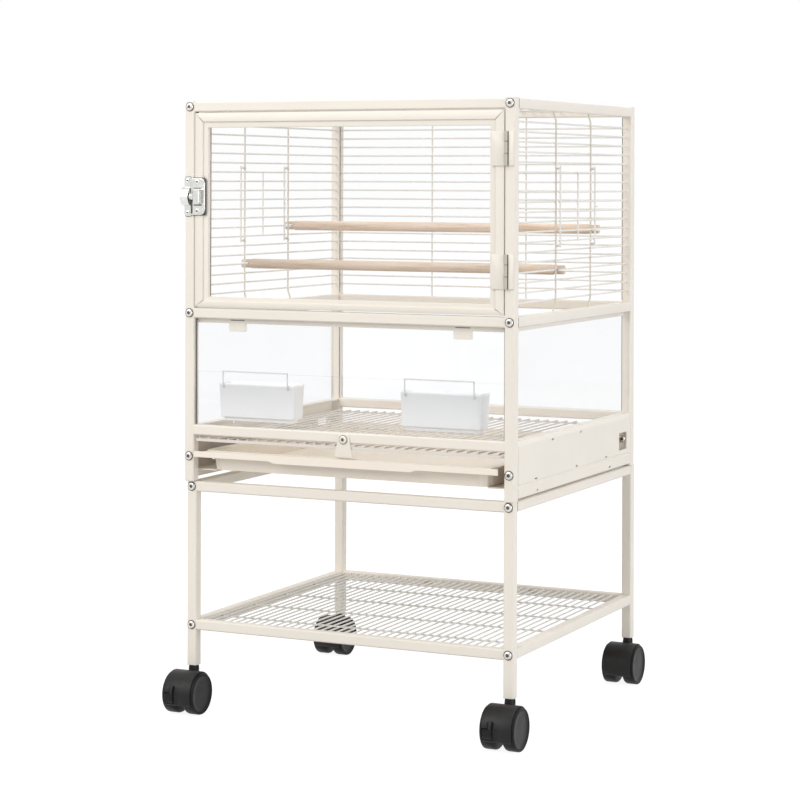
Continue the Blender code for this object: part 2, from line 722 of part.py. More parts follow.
def housing_outline(side):
    """The folded section of a side housing, with a ledge for the grate and one for the tray."""
    out = HALF_WIDTH - RAIL_RELIEF
    wall = out - HOUSING_SHEET
    flange = POST_INNER_X + RAIL_RELIEF
    fold = HOUSING_TOP_Z - HOUSING_FOLD_DROP
    groove = out - HOUSING_GROOVE_DEEP
    half = HOUSING_GROOVE_HALF
    outline = [
        (out, HOUSING_BOTTOM_Z),
        (out, HOUSING_GROOVE_Z - half),
        (groove, HOUSING_GROOVE_Z - half / 2),
        (groove, HOUSING_GROOVE_Z + half / 2),
        (out, HOUSING_GROOVE_Z + half),
        (out, fold),
        (out - HOUSING_FOLD_IN, HOUSING_TOP_Z),
        (flange, HOUSING_TOP_Z),
        (flange, HOUSING_TOP_Z - HOUSING_SHEET),
        (wall - HOUSING_FOLD_IN + LEDGE_SHEET, HOUSING_TOP_Z - HOUSING_SHEET),
        (wall, fold - LEDGE_SHEET),
        (wall, GRATE_LEDGE_Z),
        (GRATE_LEDGE_X, GRATE_LEDGE_Z),
        (GRATE_LEDGE_X, GRATE_LEDGE_Z - LEDGE_SHEET),
        (wall, GRATE_LEDGE_Z - LEDGE_SHEET),
        (wall, TRAY_LEDGE_Z),
        (TRAY_LEDGE_X, TRAY_LEDGE_Z),
        (TRAY_LEDGE_X, TRAY_LEDGE_Z - LEDGE_SHEET),
        (wall, TRAY_LEDGE_Z - LEDGE_SHEET),
        (wall, HOUSING_BOTTOM_Z),
    ]
    return [(side * x, z) for x, z in outline]


def housing_slots(side):
    """Short slots that the housing's tongues show through, and the window over a screw."""
    out = HALF_WIDTH + WELD
    wall = HALF_WIDTH - RAIL_RELIEF - HOUSING_SHEET - CLEAR
    slots = []
    fold = HOUSING_TOP_Z - HOUSING_FOLD_DROP
    levels = ((GROOVE_SLOTS_Y, GROOVE_SLOT_Z), (FOLD_SLOTS_Y, fold - SLOT_HEIGHT))
    levels += ((FOOT_SLOTS_Y, HOUSING_BOTTOM_Z + SLOT_HEIGHT + LEDGE_SHEET),)
    for places, z in levels:
        for y in places:
            y0, y1 = y - SLOT_LENGTH / 2, y + SLOT_LENGTH / 2
            z0, z1 = z - SLOT_HEIGHT / 2, z + SLOT_HEIGHT / 2
            slots.append(side_box(side, wall, out, y0, y1, z0, z1))
    y1 = CAGE_DEPTH - SCREW_WINDOW_INSET
    y0 = y1 - SCREW_WINDOW_LENGTH
    z0 = HOUSING_SCREW_Z - SCREW_WINDOW_BELOW
    z1 = HOUSING_SCREW_Z + SCREW_WINDOW_ABOVE
    slots.append(side_box(side, wall, out, y0, y1, z0, z1))
    return slots


def housing(name, side):
    front = TUBE + CLEAR
    shell = prism(housing_outline(side), "Y", front, CAGE_DEPTH - front)
    add_part(name, combined(name, [shell], [], [housing_slots(side)]), CREAM)


def panes():
    """Clear sheets round the lower part. The guard pane stands behind the window pane."""
    half = POST_INNER_X - CLEAR
    low = rail_high(BOTTOM_RAIL_Z) + CLEAR
    high = rail_low(MID_RAIL_Z) - CLEAR
    middle = (low + high) / 2
    window = rounded_rectangle(2 * half, high - low, PANE_CORNER, 2, (0.0, middle))
    shell = prism(window, "Y", WINDOW_PANE_Y, WINDOW_PANE_Y + PANE)
    add_part("front_window_pane", mesh_from("front_window_pane", [shell]), CLEAR_ACRYLIC)
    rear_y = CAGE_DEPTH - REAR_PANE_SETBACK
    shell = prism(window, "Y", rear_y - PANE, rear_y)
    add_part("rear_pane", mesh_from("rear_pane", [shell]), CLEAR_ACRYLIC)
    middle = (low + GUARD_PANE_TOP_Z) / 2
    guard = rounded_rectangle(2 * half, GUARD_PANE_TOP_Z - low, PANE_CORNER, 2, (0.0, middle))
    shell = prism(guard, "Y", GUARD_PANE_Y, GUARD_PANE_Y + PANE)
    add_part("front_guard_pane", mesh_from("front_guard_pane", [shell]), CLEAR_ACRYLIC)
    front = TUBE + CLEAR
    low = HOUSING_TOP_Z + CLEAR
    length = CAGE_DEPTH - 2 * front
    centre = (CAGE_DEPTH / 2, (low + high) / 2)
    outline = rounded_rectangle(length, high - low, PANE_CORNER, 2, centre)
    for name, side in (("left_pane", -1), ("right_pane", 1)):
        out = HALF_WIDTH - SIDE_PANE_SETBACK
        shell = prism(outline, "X", side * (out - PANE), side * out)
        add_part(name, mesh_from(name, [shell]), CLEAR_ACRYLIC)


def door_ring(side_inset, top_inset, bottom_inset, y):
    half = POST_INNER_X - DOOR_SIDE_GAP - side_inset
    low = rail_high(MID_RAIL_Z) + DOOR_BOTTOM_GAP + bottom_inset
    high = rail_low(TOP_RAIL_Z) - DOOR_TOP_GAP - top_inset
    return [(-half, y, low), (half, y, low), (half, y, high), (-half, y, high)]


def door():
    """A square frame with a stepped lip. The clear sheet sits behind the lip."""
    band = (DOOR_BAND, DOOR_BAND, DOOR_BAND_BOTTOM)
    lip = (DOOR_BAND + DOOR_LIP, DOOR_BAND + DOOR_LIP, DOOR_BAND_BOTTOM + DOOR_LIP_BOTTOM)
    rings = [
        door_ring(0, 0, 0, 0.0),
        door_ring(*band, 0.0),
        door_ring(*band, DOOR_LIP_SETBACK),
        door_ring(*lip, DOOR_LIP_SETBACK),
        door_ring(*lip, DOOR_LIP_BACK),
        door_ring(*band, DOOR_LIP_BACK),
        door_ring(*band, DOOR_DEPTH),
        door_ring(0, 0, 0, DOOR_DEPTH),
    ]
    hinge_line = (HINGE_X, HINGE_Y, 0.0)
    frame = mesh_from("door_frame", [loft(rings, closed=True)])
    add_part("door_frame", frame, CREAM, hinge_line)
    y = DOOR_LIP_BACK + CLEAR
    sheet = [door_ring(*(value + CLEAR for value in band), y + along) for along in (0.0, PANE)]
    pane = mesh_from("door_pane", [loft(sheet)])
    add_part("door_pane", pane, CLEAR_ACRYLIC, hinge_line)


def hinge_heights(centre):
    low = centre - HINGE_HEIGHT / 2
    breaks = [low + HINGE_HEIGHT * share for share in KNUCKLE_BREAKS]
    return low, breaks[0], breaks[1], low + HINGE_HEIGHT


def hinge(level, centre):
    """A butt hinge: two knuckles and the pin on the post's leaf, one knuckle on the door's."""
    low, cut_low, cut_high, high = hinge_heights(centre)
    axis = (HINGE_X, HINGE_Y)
    front = -CLEAR - HINGE_SHEET
    post_edge = HINGE_X + HINGE_POST_LEAF
    open_x = HINGE_X + HINGE_KNUCKLE + SLIDE_CLEAR
    plate = [
        (post_edge, low), (post_edge, high), (HINGE_X + WELD / 2, high),
        (HINGE_X + WELD / 2, cut_high + CLEAR), (open_x, cut_high + CLEAR),
        (open_x, cut_low - CLEAR), (HINGE_X + WELD / 2, cut_low - CLEAR),
        (HINGE_X + WELD / 2, low),
    ]
    knuckles = [
        rod("Z", axis, low, cut_low - CLEAR, HINGE_KNUCKLE),
        rod("Z", axis, cut_high + CLEAR, high, HINGE_KNUCKLE),
    ]
    pin = rod("Z", axis, low + WELD, high - WELD, HINGE_PIN)
    name = f"{level}_hinge_post_leaf"
    leaf = prism(plate, "Y", front, -CLEAR)
    mesh = combined(name, knuckles, [[leaf], [pin]])
    add_part(name, mesh, CREAM, (HINGE_X, HINGE_Y, centre), smooth=True)

    door_edge = HINGE_X - HINGE_DOOR_LEAF
    shut_x = HINGE_X - HINGE_KNUCKLE - SLIDE_CLEAR
    plate = [
        (door_edge, low), (shut_x, low), (shut_x, cut_low + CLEAR / 2),
        (HINGE_X - WELD / 2, cut_low + CLEAR / 2), (HINGE_X - WELD / 2, cut_high - CLEAR / 2),
        (shut_x, cut_high - CLEAR / 2), (shut_x, high), (door_edge, high),
    ]
    knuckle = rod("Z", axis, cut_low + CLEAR / 2, cut_high - CLEAR / 2, HINGE_KNUCKLE)
    bore = rod("Z", axis, low, high, HINGE_BORE)
    name = f"{level}_hinge_door_leaf"
    leaf = prism(plate, "Y", front, -CLEAR)
    mesh = combined(name, [knuckle], [[leaf]], [[bore]])
    add_part(name, mesh, CREAM, (HINGE_X, HINGE_Y, centre), smooth=True)


def half_round(depth, height, back_y, centre_z):
    """An outline in y and z with a flat back and a rounded front."""
    points = []
    for y, z in arc(1.0, 90, 270, KEEPER_BARREL_STEPS):
        points.append((back_y + depth * y, centre_z + height / 2 * z))
    return points


def plate_ring(near_x, far_x, height, corner, inset, y):
    """A ring in x and z, square at its near side and rounded at its far side."""
    towards = math.copysign(1.0, far_x - near_x)
    half = height / 2 - corner
    centre_x = far_x - towards * corner
    edge = height / 2 - inset
    points = [(near_x, y, LATCH_Z + edge), (near_x, y, LATCH_Z - edge)]
    for start, z in ((-90, LATCH_Z - half), (0, LATCH_Z + half)):
        for a, b in arc(corner - inset, start, start + 90, PLATE_CORNER_STEPS):
            points.append((centre_x + towards * a, y, z + b))
    return points


def latch():
    """A bolt slides in a guide on the door and shoots into a barrel on the post."""
    edge = POST_INNER_X + LATCH_OVERHANG
    bolt_line = (-BOLT_SETBACK, LATCH_Z)
    left = -edge - CLEAR
    body = (left, left + LATCH_BODY_WIDTH, LATCH_BODY_HEIGHT, LATCH_BODY_CORNER)
    front = -CLEAR - LATCH_BODY_DEPTH
    box_rings = [
        plate_ring(*body, 0.0, -CLEAR),
        plate_ring(*body, 0.0, front + LATCH_BODY_EASE),
        plate_ring(*body, LATCH_BODY_EASE, front),
    ]
    guide_end = -edge + LATCH_GUIDE_LENGTH
    guide_radius = BOLT_BORE + LATCH_GUIDE_WALL
    guide = rod("X", bolt_line, left + CLEAR, guide_end, guide_radius)
    tip = -edge + CLEAR
    thumb_left = guide_end + SLIDE_CLEAR
    thumb_right = thumb_left + THUMB_WIDTH
    bore = rod("X", bolt_line, left - WELD, thumb_right, BOLT_BORE)
    mesh = combined("latch_body", [loft(box_rings)], [[guide]], [[bore]])
    add_part("latch_body", mesh, CHROME, smooth=True)

    back = front - CLEAR
    middle = (thumb_left + thumb_right) / 2
    rings = []
    for inset, y in ((0.0, back), (0.0, THUMB_EASE - THUMB_FRONT), (THUMB_EASE, -THUMB_FRONT)):
        size = (THUMB_WIDTH - 2 * inset, THUMB_HEIGHT - 2 * inset)
        outline = rounded_rectangle(*size, THUMB_CORNER - inset / 2, 2, (middle, LATCH_Z))
        rings.append([(x, y, z) for x, z in outline])
    room = guide_radius + SLIDE_CLEAR
    hollow = box(
        (thumb_left - WELD, -BOLT_SETBACK - room, LATCH_Z - room),
        (thumb_right - THUMB_WALL, back + WELD, LATCH_Z + room),
    )
    shaft = rod("X", bolt_line, tip, thumb_right - THUMB_WALL / 2, BOLT_RADIUS)
    thumb = combined("latch_thumb", [loft(rings)], [], [[hollow]])
    mesh = combined("latch_bolt", [shell_of(thumb)], [[shaft]])
    add_part("latch_bolt", mesh, CHROME, (tip, -BOLT_SETBACK, LATCH_Z), smooth=True)

    keeper_right = -edge - 2 * CLEAR
    plate = (keeper_right, keeper_right - KEEPER_WIDTH, KEEPER_HEIGHT, KEEPER_CORNER, 0.0)
    rings = [plate_ring(*plate, y) for y in (-CLEAR - LATCH_SHEET, -CLEAR)]
    barrel_back = -CLEAR - LATCH_SHEET / 2
    section = half_round(KEEPER_BARREL_DEPTH, KEEPER_BARREL_HEIGHT, barrel_back, LATCH_Z)
    barrel = prism(section, "X", keeper_right - KEEPER_BARREL_WIDTH, keeper_right - CLEAR)
    depth = KEEPER_SOCKET_DEPTH / 2
    height = KEEPER_SOCKET_HEIGHT / 2
    socket = box(
        (keeper_right - BOLT_TRAVEL - WELD, -BOLT_SETBACK - depth, LATCH_Z - height),
        (keeper_right + WELD, -BOLT_SETBACK + depth, LATCH_Z + height),
    )
    mesh = combined("latch_keeper", [loft(rings)], [[barrel]], [[socket]])
    add_part("latch_keeper", mesh, CHROME, smooth=True)


def hatch(name, side):
    """A wire hatch that slides up on the side's uprights, held by open hooks."""
    wires_x = side * HATCH_X
    low = row_z(HATCH_FIRST_ROW)
    high = row_z(HATCH_LAST_ROW)
    uprights = (SIDE_UPRIGHT_FRONT_Y, SIDE_UPRIGHT_REAR_Y)
    rows = []
    for row in range(HATCH_FIRST_ROW, HATCH_LAST_ROW + 1):
        start, end = uprights[0] - WIRE_RADIUS, uprights[1] + WIRE_RADIUS
        rows.append(wire("Y", (side * (HATCH_X - WIRE_STEP), row_z(row)), start, end))
    bottom = low - HATCH_HOOK_REACH - 2 * WIRE_RADIUS
    top = high + HATCH_HOOK_REACH + 2 * WIRE_RADIUS
    verticals = [wire("Z", (wires_x, y), bottom, top) for y in uprights]
    middle = sum(uprights) / 2
    verticals.append(wire("Z", (wires_x, middle), low - WIRE_RADIUS, high + WIRE_RADIUS))
    hooks = []
    for y in uprights:
        for z in (low - HATCH_HOOK_REACH, high + HATCH_HOOK_REACH):
            path = []
            for a, b in arc(HATCH_HOOK_RADIUS, -90, 90, 4):
                path.append((side * (HATCH_HOOK_CENTRE_X + a), y + b, z))
            hooks.append(bent_wire(path, HATCH_HOOK_WIRE))
    grip_y = uprights[1] + HATCH_GRIP_LENGTH
    grip_z = low + HATCH_GRIP_RISE
    path = [(wires_x, uprights[1] - WIRE_RADIUS / 2, grip_z), (wires_x, grip_y, grip_z)]
    path.append((wires_x + side * WELD, grip_y + WELD / 2, grip_z))
    hooks.append(bent_wire(path, HATCH_HOOK_WIRE))
    origin = (wires_x, middle, low)
    add_part(name, combined(name, rows, [verticals, hooks]), WIRE_CREAM, origin)


def perch(name, y, row):
    """A dowel whose slotted ends clip over a side wire."""
    z = row_z(row)
    half = HALF_WIDTH + PERCH_OVERHANG
    radius = PERCH_DIAMETER / 2
    shaft = rod("X", (y, z), -half, half, radius, PERCH_SIDES, 180 / PERCH_SIDES)
    slot_half = WIRE_RADIUS + PERCH_SLOT_CLEAR
    inner = SIDE_ROW_X - WIRE_RADIUS - PERCH_SLOT_CLEAR
    slots = []
    for side in (-1, 1):
        out = half + WELD
        z0, z1 = z - slot_half, z + slot_half
        slots.append(side_box(side, inner, out, y - PERCH_DIAMETER, y + PERCH_DIAMETER, z0, z1))
    mesh = combined(name, [shaft], [], [slots])
    add_part(name, mesh, BEECH, (0.0, y, z), smooth=True)


def cup_mesh():
    """A tapered cup with a recessed foot, about the middle of its underside."""
    def ring(z, narrower, corner):
        size = (CUP_WIDTH - 2 * narrower, CUP_DEPTH - 2 * narrower)
        return [(a, b, z) for a, b in rounded_rectangle(*size, corner)]

    lower = CUP_TAPER / 2
    foot = lower + CUP_FOOT_INSET
    inner_corner = CUP_CORNER - CUP_WALL
    rings = [
        ring(0.0, foot, inner_corner),
        ring(CUP_FOOT_HEIGHT, foot, inner_corner),
        ring(CUP_FOOT_HEIGHT, lower, CUP_CORNER),
        ring(CUP_HEIGHT, 0.0, CUP_CORNER),
        ring(CUP_HEIGHT, CUP_WALL, inner_corner),
        ring(CUP_FOOT_HEIGHT + CUP_FLOOR, lower + CUP_WALL, inner_corner),
    ]
    return mesh_from("cup", [loft(rings)])


def hanger_mesh():
    """A band behind the guard pane with two legs that hook over its top, about its middle."""
    top = GUARD_PANE_TOP_Z + CLEAR - CUP_BOTTOM_Z
    band_top = CUP_HEIGHT
    band_low = CUP_HEIGHT - HANGER_BAND
    reach = HANGER_LEG_SPACING / 2 + HANGER_LEG / 2
    inner = HANGER_LEG_SPACING / 2 - HANGER_LEG / 2
    back_y = CUP_FRONT_Y - CUP_CENTRE_Y
    sheet_y = back_y - HANGER_SHEET
    legs = [
        (-reach, band_low), (reach, band_low), (reach, top + WELD / 2),
        (inner, top + WELD / 2), (inner, band_top), (-inner, band_top),
        (-inner, top + WELD / 2), (-reach, top + WELD / 2),
    ]
    plate = prism(legs, "Y", sheet_y, back_y)
    front_y = GUARD_PANE_Y - SLIDE_CLEAR - CUP_CENTRE_Y
    hook = [
        (back_y - CLEAR, top), (back_y - CLEAR, top + HANGER_SHEET),
        (front_y - HANGER_SHEET, top + HANGER_SHEET), (front_y - HANGER_SHEET, top - HANGER_LIP),
        (front_y, top - HANGER_LIP), (front_y, top),
    ]
    hooks = []
    for side in (-1, 1):
        low, high = span(side * (inner + CLEAR), side * (reach - CLEAR))
        hooks.append(prism(hook, "X", low, high))
    return combined("cup_hanger", [plate], [hooks])


def cups():
    cup = cup_mesh()
    hanger = hanger_mesh()
    for i, x in enumerate(CUP_CENTRES_X):
        name = ("left", "right")[i]
        base = (x, CUP_CENTRE_Y, CUP_BOTTOM_Z)
        add_copy(f"{name}_cup", cup.copy(), CUP_WHITE, base)
        add_copy(f"{name}_cup_hanger", hanger.copy(), CUP_WHITE, base)


def floor_grate():
    """Front-to-back wires on cross wires and a flat front bar, with a strip to pull it by."""
    cross_z = GRATE_LEDGE_Z + CLEAR + WIRE_RADIUS
    half = GRATE_HALF_WIDTH
    wires = []
    for x in centred(half, GRATE_WIRE_PITCH):
        wires.append(wire("Y", (x, cross_z + WIRE_STEP), GRATE_FRONT_Y, GRATE_REAR_Y))
    cross = []
    for y in (GRATE_MIDDLE_Y, GRATE_REAR_Y - GRATE_END):
        cross.append(wire("X", (y, cross_z), -half, half))
    top = cross_z + WIRE_STEP - WIRE_RADIUS + WIRE_LAP
    low = top - GRATE_BAR_HEIGHT
    y0 = GRATE_FRONT_Y + CLEAR
    bar = box((-half, y0, low), (half, y0 + GRATE_BAR_SHEET, top))
    x0, x1 = GRATE_STRIP_X
    strip = box((x0, y0 + CLEAR, low + CLEAR), (x1, y0 + GRATE_STRIP_DEPTH, low + GRATE_BAR_SHEET))
    mesh = combined("floor_grate", wires, [cross + [bar], [strip]])
    add_part("floor_grate", mesh, WIRE_CREAM)


def tray_ring(z, half, front, rear, corner):
    size = (2 * half, rear - front)
    centre = (0.0, (front + rear) / 2)
    return [(a, b, z) for a, b in rounded_rectangle(*size, corner, 2, centre)]


def tray():
    """A drawn tray with a rim and, at the front, a turned-down lip with a deeper pull."""
    bottom = TRAY_LEDGE_Z + CLEAR
    half, front, rear = TRAY_HALF_WIDTH, TRAY_FRONT_Y, TRAY_REAR_Y
    wall, draft, corner, rim = TRAY_WALL, TRAY_DRAFT, TRAY_CORNER, TRAY_RIM
    under = TRAY_TOP_Z - wall
    rings = [
        tray_ring(bottom, half - draft, front + draft, rear - draft, corner),
        tray_ring(under, half, front, rear, corner),
        tray_ring(under, half + rim, front - wall, rear + wall, corner),
        tray_ring(TRAY_TOP_Z, half + rim, front - wall, rear + wall, corner),
        tray_ring(TRAY_TOP_Z, half - wall, front + wall, rear - wall, corner - wall),
        tray_ring(bottom + wall, half - wall - draft, front + wall + draft,
                  rear - wall - draft, corner - wall),
    ]
    lip_low = TRAY_TOP_Z - LIP_HEIGHT
    wide, pull = LIP_HALF_WIDTH, PULL_HALF_WIDTH
    top = TRAY_TOP_Z - CLEAR
    face = [
        (-wide, top), (-wide, lip_low), (-pull - PULL_SLOPE, lip_low),
        (-pull, lip_low - PULL_DROP), (pull, lip_low - PULL_DROP),
        (pull + PULL_SLOPE, lip_low), (wide, lip_low), (wide, top),
    ]
    lip = prism(face, "Y", LIP_FRONT_Y, LIP_FRONT_Y + LIP_SHEET)
    shelf_half = half + rim / 2
    shelf = box(
        (-shelf_half, LIP_FRONT_Y + LIP_SHEET / 2, under + CLEAR),
        (shelf_half, front + wall / 2, top - CLEAR),
    )
    mesh = combined("tray", [loft(rings)], [[shelf], [lip]])
    add_part("tray", mesh, TRAY_CREAM)


def stop_tab():
    """A swinging plate that hangs in front of the grate, and the screw that it turns on."""
    wide, narrow = STOP_HALF_BOTTOM, STOP_HALF_TOP
    low, high = STOP_PIVOT_Z - STOP_BELOW, STOP_PIVOT_Z + STOP_ABOVE
    ease = STOP_CORNER
    outline = [(narrow - ease, high), (-narrow + ease, high), (-narrow, high - ease)]
    outline += [(-wide, low + ease), (-wide + ease, low), (wide - ease, low)]
    outline += [(wide, low + ease), (narrow, high - ease)]
    back = RAIL_RELIEF - CLEAR
    plate = prism(outline, "Y", back - STOP_SHEET, back)
    bore = rod("Y", (0.0, STOP_PIVOT_Z), back - STOP_SHEET - WELD, back + WELD, STOP_BORE)
    mesh = combined("stop_tab", [plate], [], [[bore]])
    pivot = (0.0, back - STOP_SHEET / 2, STOP_PIVOT_Z)
    add_part("stop_tab", mesh, CREAM, pivot)
    face = back - STOP_SHEET - CLEAR
    reach = back + SCREW_REACH
    profile = [(SCREW_SHANK, reach), (SCREW_SHANK, face)] + screw_profile(face, -1)
    screw = turned("Y", profile, 8, (0.0, STOP_PIVOT_Z), 22.5)
    mesh = mesh_from("stop_tab_screw", [screw])
    add_part("stop_tab_screw", mesh, CHROME, pivot, smooth=True)


def front_screws():
    """Domed screws through the front tubes, with their shanks in the bores."""
    profile = [(SCREW_SHANK, SCREW_REACH), (SCREW_SHANK, -CLEAR)] + screw_profile(-CLEAR, -1)
    mesh = mesh_from("screw", [turned("Y", profile, SCREW_SIDES)])
    levels = ("top", "middle", "lower")
    for side, sign in (("left", -1), ("right", 1)):
        for level, z in zip(levels, UPPER_SCREWS_Z):
            name = f"cage_screw_{side}_{level}"
            add_copy(name, mesh.copy(), CHROME, (sign * POST_X, 0.0, z), smooth=True)
        for level, z in zip(("top", "shelf"), STAND_SCREWS_Z):
            name = f"stand_screw_{side}_{level}"
            add_copy(name, mesh.copy(), CHROME, (sign * LEG_X, STAND_SETBACK, z), smooth=True)


def stem_bores(y):
    bores = []
    for side in (-1, 1):
        start = LEG_BOTTOM_Z - WELD
        end = STEM_TOP_Z + STEM_END_GAP
        bores.append(rod("Z", (side * LEG_X, y), start, end, STEM_BORE))
    return bores


def stand_front_frame():
    legs = post_pair(LEG_FRONT_Y, LEG_BOTTOM_Z, STAND_TOP_Z, LEG_X)
    rails = cross_rails(LEG_FRONT_Y, (STAND_RAIL_Z, SHELF_RAIL_Z), LEG_X - TUBE / 2)
    bores = stem_bores(LEG_FRONT_Y) + screw_bores(LEG_X, STAND_SCREWS_Z, STAND_SETBACK)
    mesh = combined("stand_front_frame", legs, [rails], [bores])
    add_part("stand_front_frame", mesh, CREAM)


def stand_rear_frame():
    legs = post_pair(LEG_REAR_Y, LEG_BOTTOM_Z, STAND_TOP_Z, LEG_X)
    rails = cross_rails(LEG_REAR_Y, (STAND_RAIL_Z, SHELF_RAIL_Z), LEG_X - TUBE / 2)
    heads = fixed_heads(LEG_X, STAND_SCREWS_Z, CAGE_DEPTH + STAND_REAR_STEP)
    ovals = []
    reach = (OVAL_LENGTH - OVAL_HEIGHT) / 2
    for x in OVAL_HOLES_X:
        outline = arc(OVAL_HEIGHT / 2, -90, 90, 3, (x + reach, SHELF_RAIL_Z))
        outline += arc(OVAL_HEIGHT / 2, 90, 270, 3, (x - reach, SHELF_RAIL_Z))
        ovals.append(prism(outline, "Y", LEG_REAR_Y - TUBE, LEG_REAR_Y - TUBE / 4))
    mesh = combined("stand_rear_frame", legs, [rails, heads], [stem_bores(LEG_REAR_Y) + ovals])
    add_part("stand_rear_frame", mesh, CREAM)


def stand_side_rails():
    front = LEG_FRONT_Y + TUBE / 2 + CLEAR
    rear = LEG_REAR_Y - TUBE / 2 - CLEAR
    for name, side in (("stand_left_rail", -1), ("stand_right_rail", 1)):
        rail = tube("Y", (side * LEG_X, STAND_RAIL_Z), front, rear, RAIL)
        add_part(name, mesh_from(name, [rail]), CREAM)


def shelf():
    """Two side rails with cross wires between them and front-to-back wires on top."""
    front = LEG_FRONT_Y + TUBE / 2 + CLEAR
    rear = LEG_REAR_Y - TUBE / 2 - CLEAR
    top_z = SHELF_RAIL_Z + SHELF_WIRE_RISE
    rails = [tube("Y", (side * LEG_X, SHELF_RAIL_Z), front, rear, RAIL) for side in (-1, 1)]
    inner = LEG_X - RAIL / 2
    wires = [wire("Y", (x, top_z), front, rear) for x in centred(inner, SHELF_WIRE_PITCH)]
    count = int((rear - SHELF_CROSS_END - SHELF_CROSS_FIRST_Y) / SHELF_CROSS_PITCH) + 1
    cross = []
    for i in range(count):
        centre = (SHELF_CROSS_FIRST_Y + i * SHELF_CROSS_PITCH, top_z - WIRE_STEP)
        cross.append(wire("X", centre, -inner - WELD, inner + WELD))
    mesh = combined("shelf", rails + wires, [cross])
    add_part("shelf", mesh, CREAM)


def brake_slots(axle):
    """The opening in the hood's front behind the pedal and its arm."""
    slots = []
    for angles, places in (
        (BRAKE_SLOT_ANGLES, BRAKE_SLOT_X), (BRAKE_NECK_SLOT_ANGLES, BRAKE_NECK_SLOT_X),
    ):
        outline = arc(HOOD_OUTER + WELD, *angles, 3, axle)
        outline += arc(HOOD_INNER - CLEAR, *reversed(angles), 3, axle)
        slots.append(prism(outline, "X", *places))
    return slots


def hood_mesh(braked):
    """The black hood of a twin-wheel caster, about its swivel axis at floor height."""
    axle = (-CASTER_TRAIL, WHEEL_RADIUS)
    outer = arc(HOOD_OUTER, HOOD_START, HOOD_END, HOOD_STEPS, axle)
    inner = arc(HOOD_INNER, HOOD_END, HOOD_START, HOOD_STEPS, axle)
    cover = prism(outer + inner, "X", -HOOD_HALF_WIDTH, HOOD_HALF_WIDTH)
    start, end = HOOD_START + WEB_EASE, HOOD_END - WEB_EASE
    web_outline = arc(HOOD_OUTER - CLEAR, start, end, HOOD_STEPS, axle)
    web_outline += arc(WEB_LOW_RADIUS, end, 360 + start, HOOD_STEPS // 2, axle)
    web = prism(web_outline, "X", -WEB_HALF_WIDTH, WEB_HALF_WIDTH)
    neck_top = LEG_BOTTOM_Z - CLEAR
    over_axle = math.sqrt(HOOD_INNER ** 2 - CASTER_TRAIL ** 2)
    neck = [
        (COLLAR_RADIUS, WHEEL_RADIUS + over_axle - COLLAR_RADIUS),
        (COLLAR_RADIUS, neck_top - COLLAR_TAPER),
        (COLLAR_TOP_RADIUS, neck_top),
        (STEM_RADIUS, neck_top),
        (STEM_RADIUS, STEM_TOP_Z - STEM_RADIUS / 2),
        (STEM_RADIUS / 2, STEM_TOP_Z),
    ]
    stem = turned("Z", neck, 12)
    bore = rod("X", axle, -WHEEL_OUTER_X, WHEEL_OUTER_X, AXLE_RADIUS + SLIDE_CLEAR)
    room = []
    for side in (-1, 1):
        low, high = span(side * WEB_HALF_WIDTH, side * WHEEL_OUTER_X)
        room.append(rod("X", axle, low, high, WHEEL_RADIUS + CLEAR, 2 * WHEEL_SIDES, -90.0))
    cuts = [[bore], room] + [[slot] for slot in brake_slots(axle) if braked]
    return combined("caster_hood", [cover], [[web], [stem]], cuts)


def wheels_mesh():
    """Two wheels on one axle, about the middle of the axle."""
    wheels = []
    for side in (-1, 1):
        profile = [
            (WHEEL_RADIUS, WHEEL_INNER_X),
            (WHEEL_RADIUS, WHEEL_OUTER_X - WHEEL_EDGE),
            (WHEEL_RADIUS - WHEEL_EDGE, WHEEL_OUTER_X),
            (WHEEL_RADIUS - HUB_RIM, WHEEL_OUTER_X - HUB_DISH),
        ]
        profile = [(radius, side * along) for radius, along in profile]
        wheels.append(turned("X", profile, WHEEL_SIDES, phase=-90.0))
    reach = WHEEL_INNER_X + WELD
    axle = rod("X", (0.0, 0.0), -reach, reach, AXLE_RADIUS)
    return combined("caster_wheels", wheels, [[axle]])


def brake_mesh():
    """A narrow arm that widens into a ribbed pedal, curved round the hood, about the axle."""
    stations = [(angle, BRAKE_ARM_X, 0.0) for angle in BRAKE_ARM_ANGLES]
    for i, angle in enumerate(BRAKE_PEDAL_ANGLES):
        stations.append((angle, BRAKE_PEDAL_X, BRAKE_RIB * (i % 2)))
    rings = []
    for angle, (low, high), groove in stations:
        t = math.radians(angle)
        near = (BRAKE_INNER * math.cos(t), BRAKE_INNER * math.sin(t))
        outer = BRAKE_INNER + BRAKE_SHEET - groove
        far = (outer * math.cos(t), outer * math.sin(t))
        rings.append([(low, *near), (high, *near), (high, *far), (low, *far)])
    return mesh_from("brake_lever", [loft(rings)])


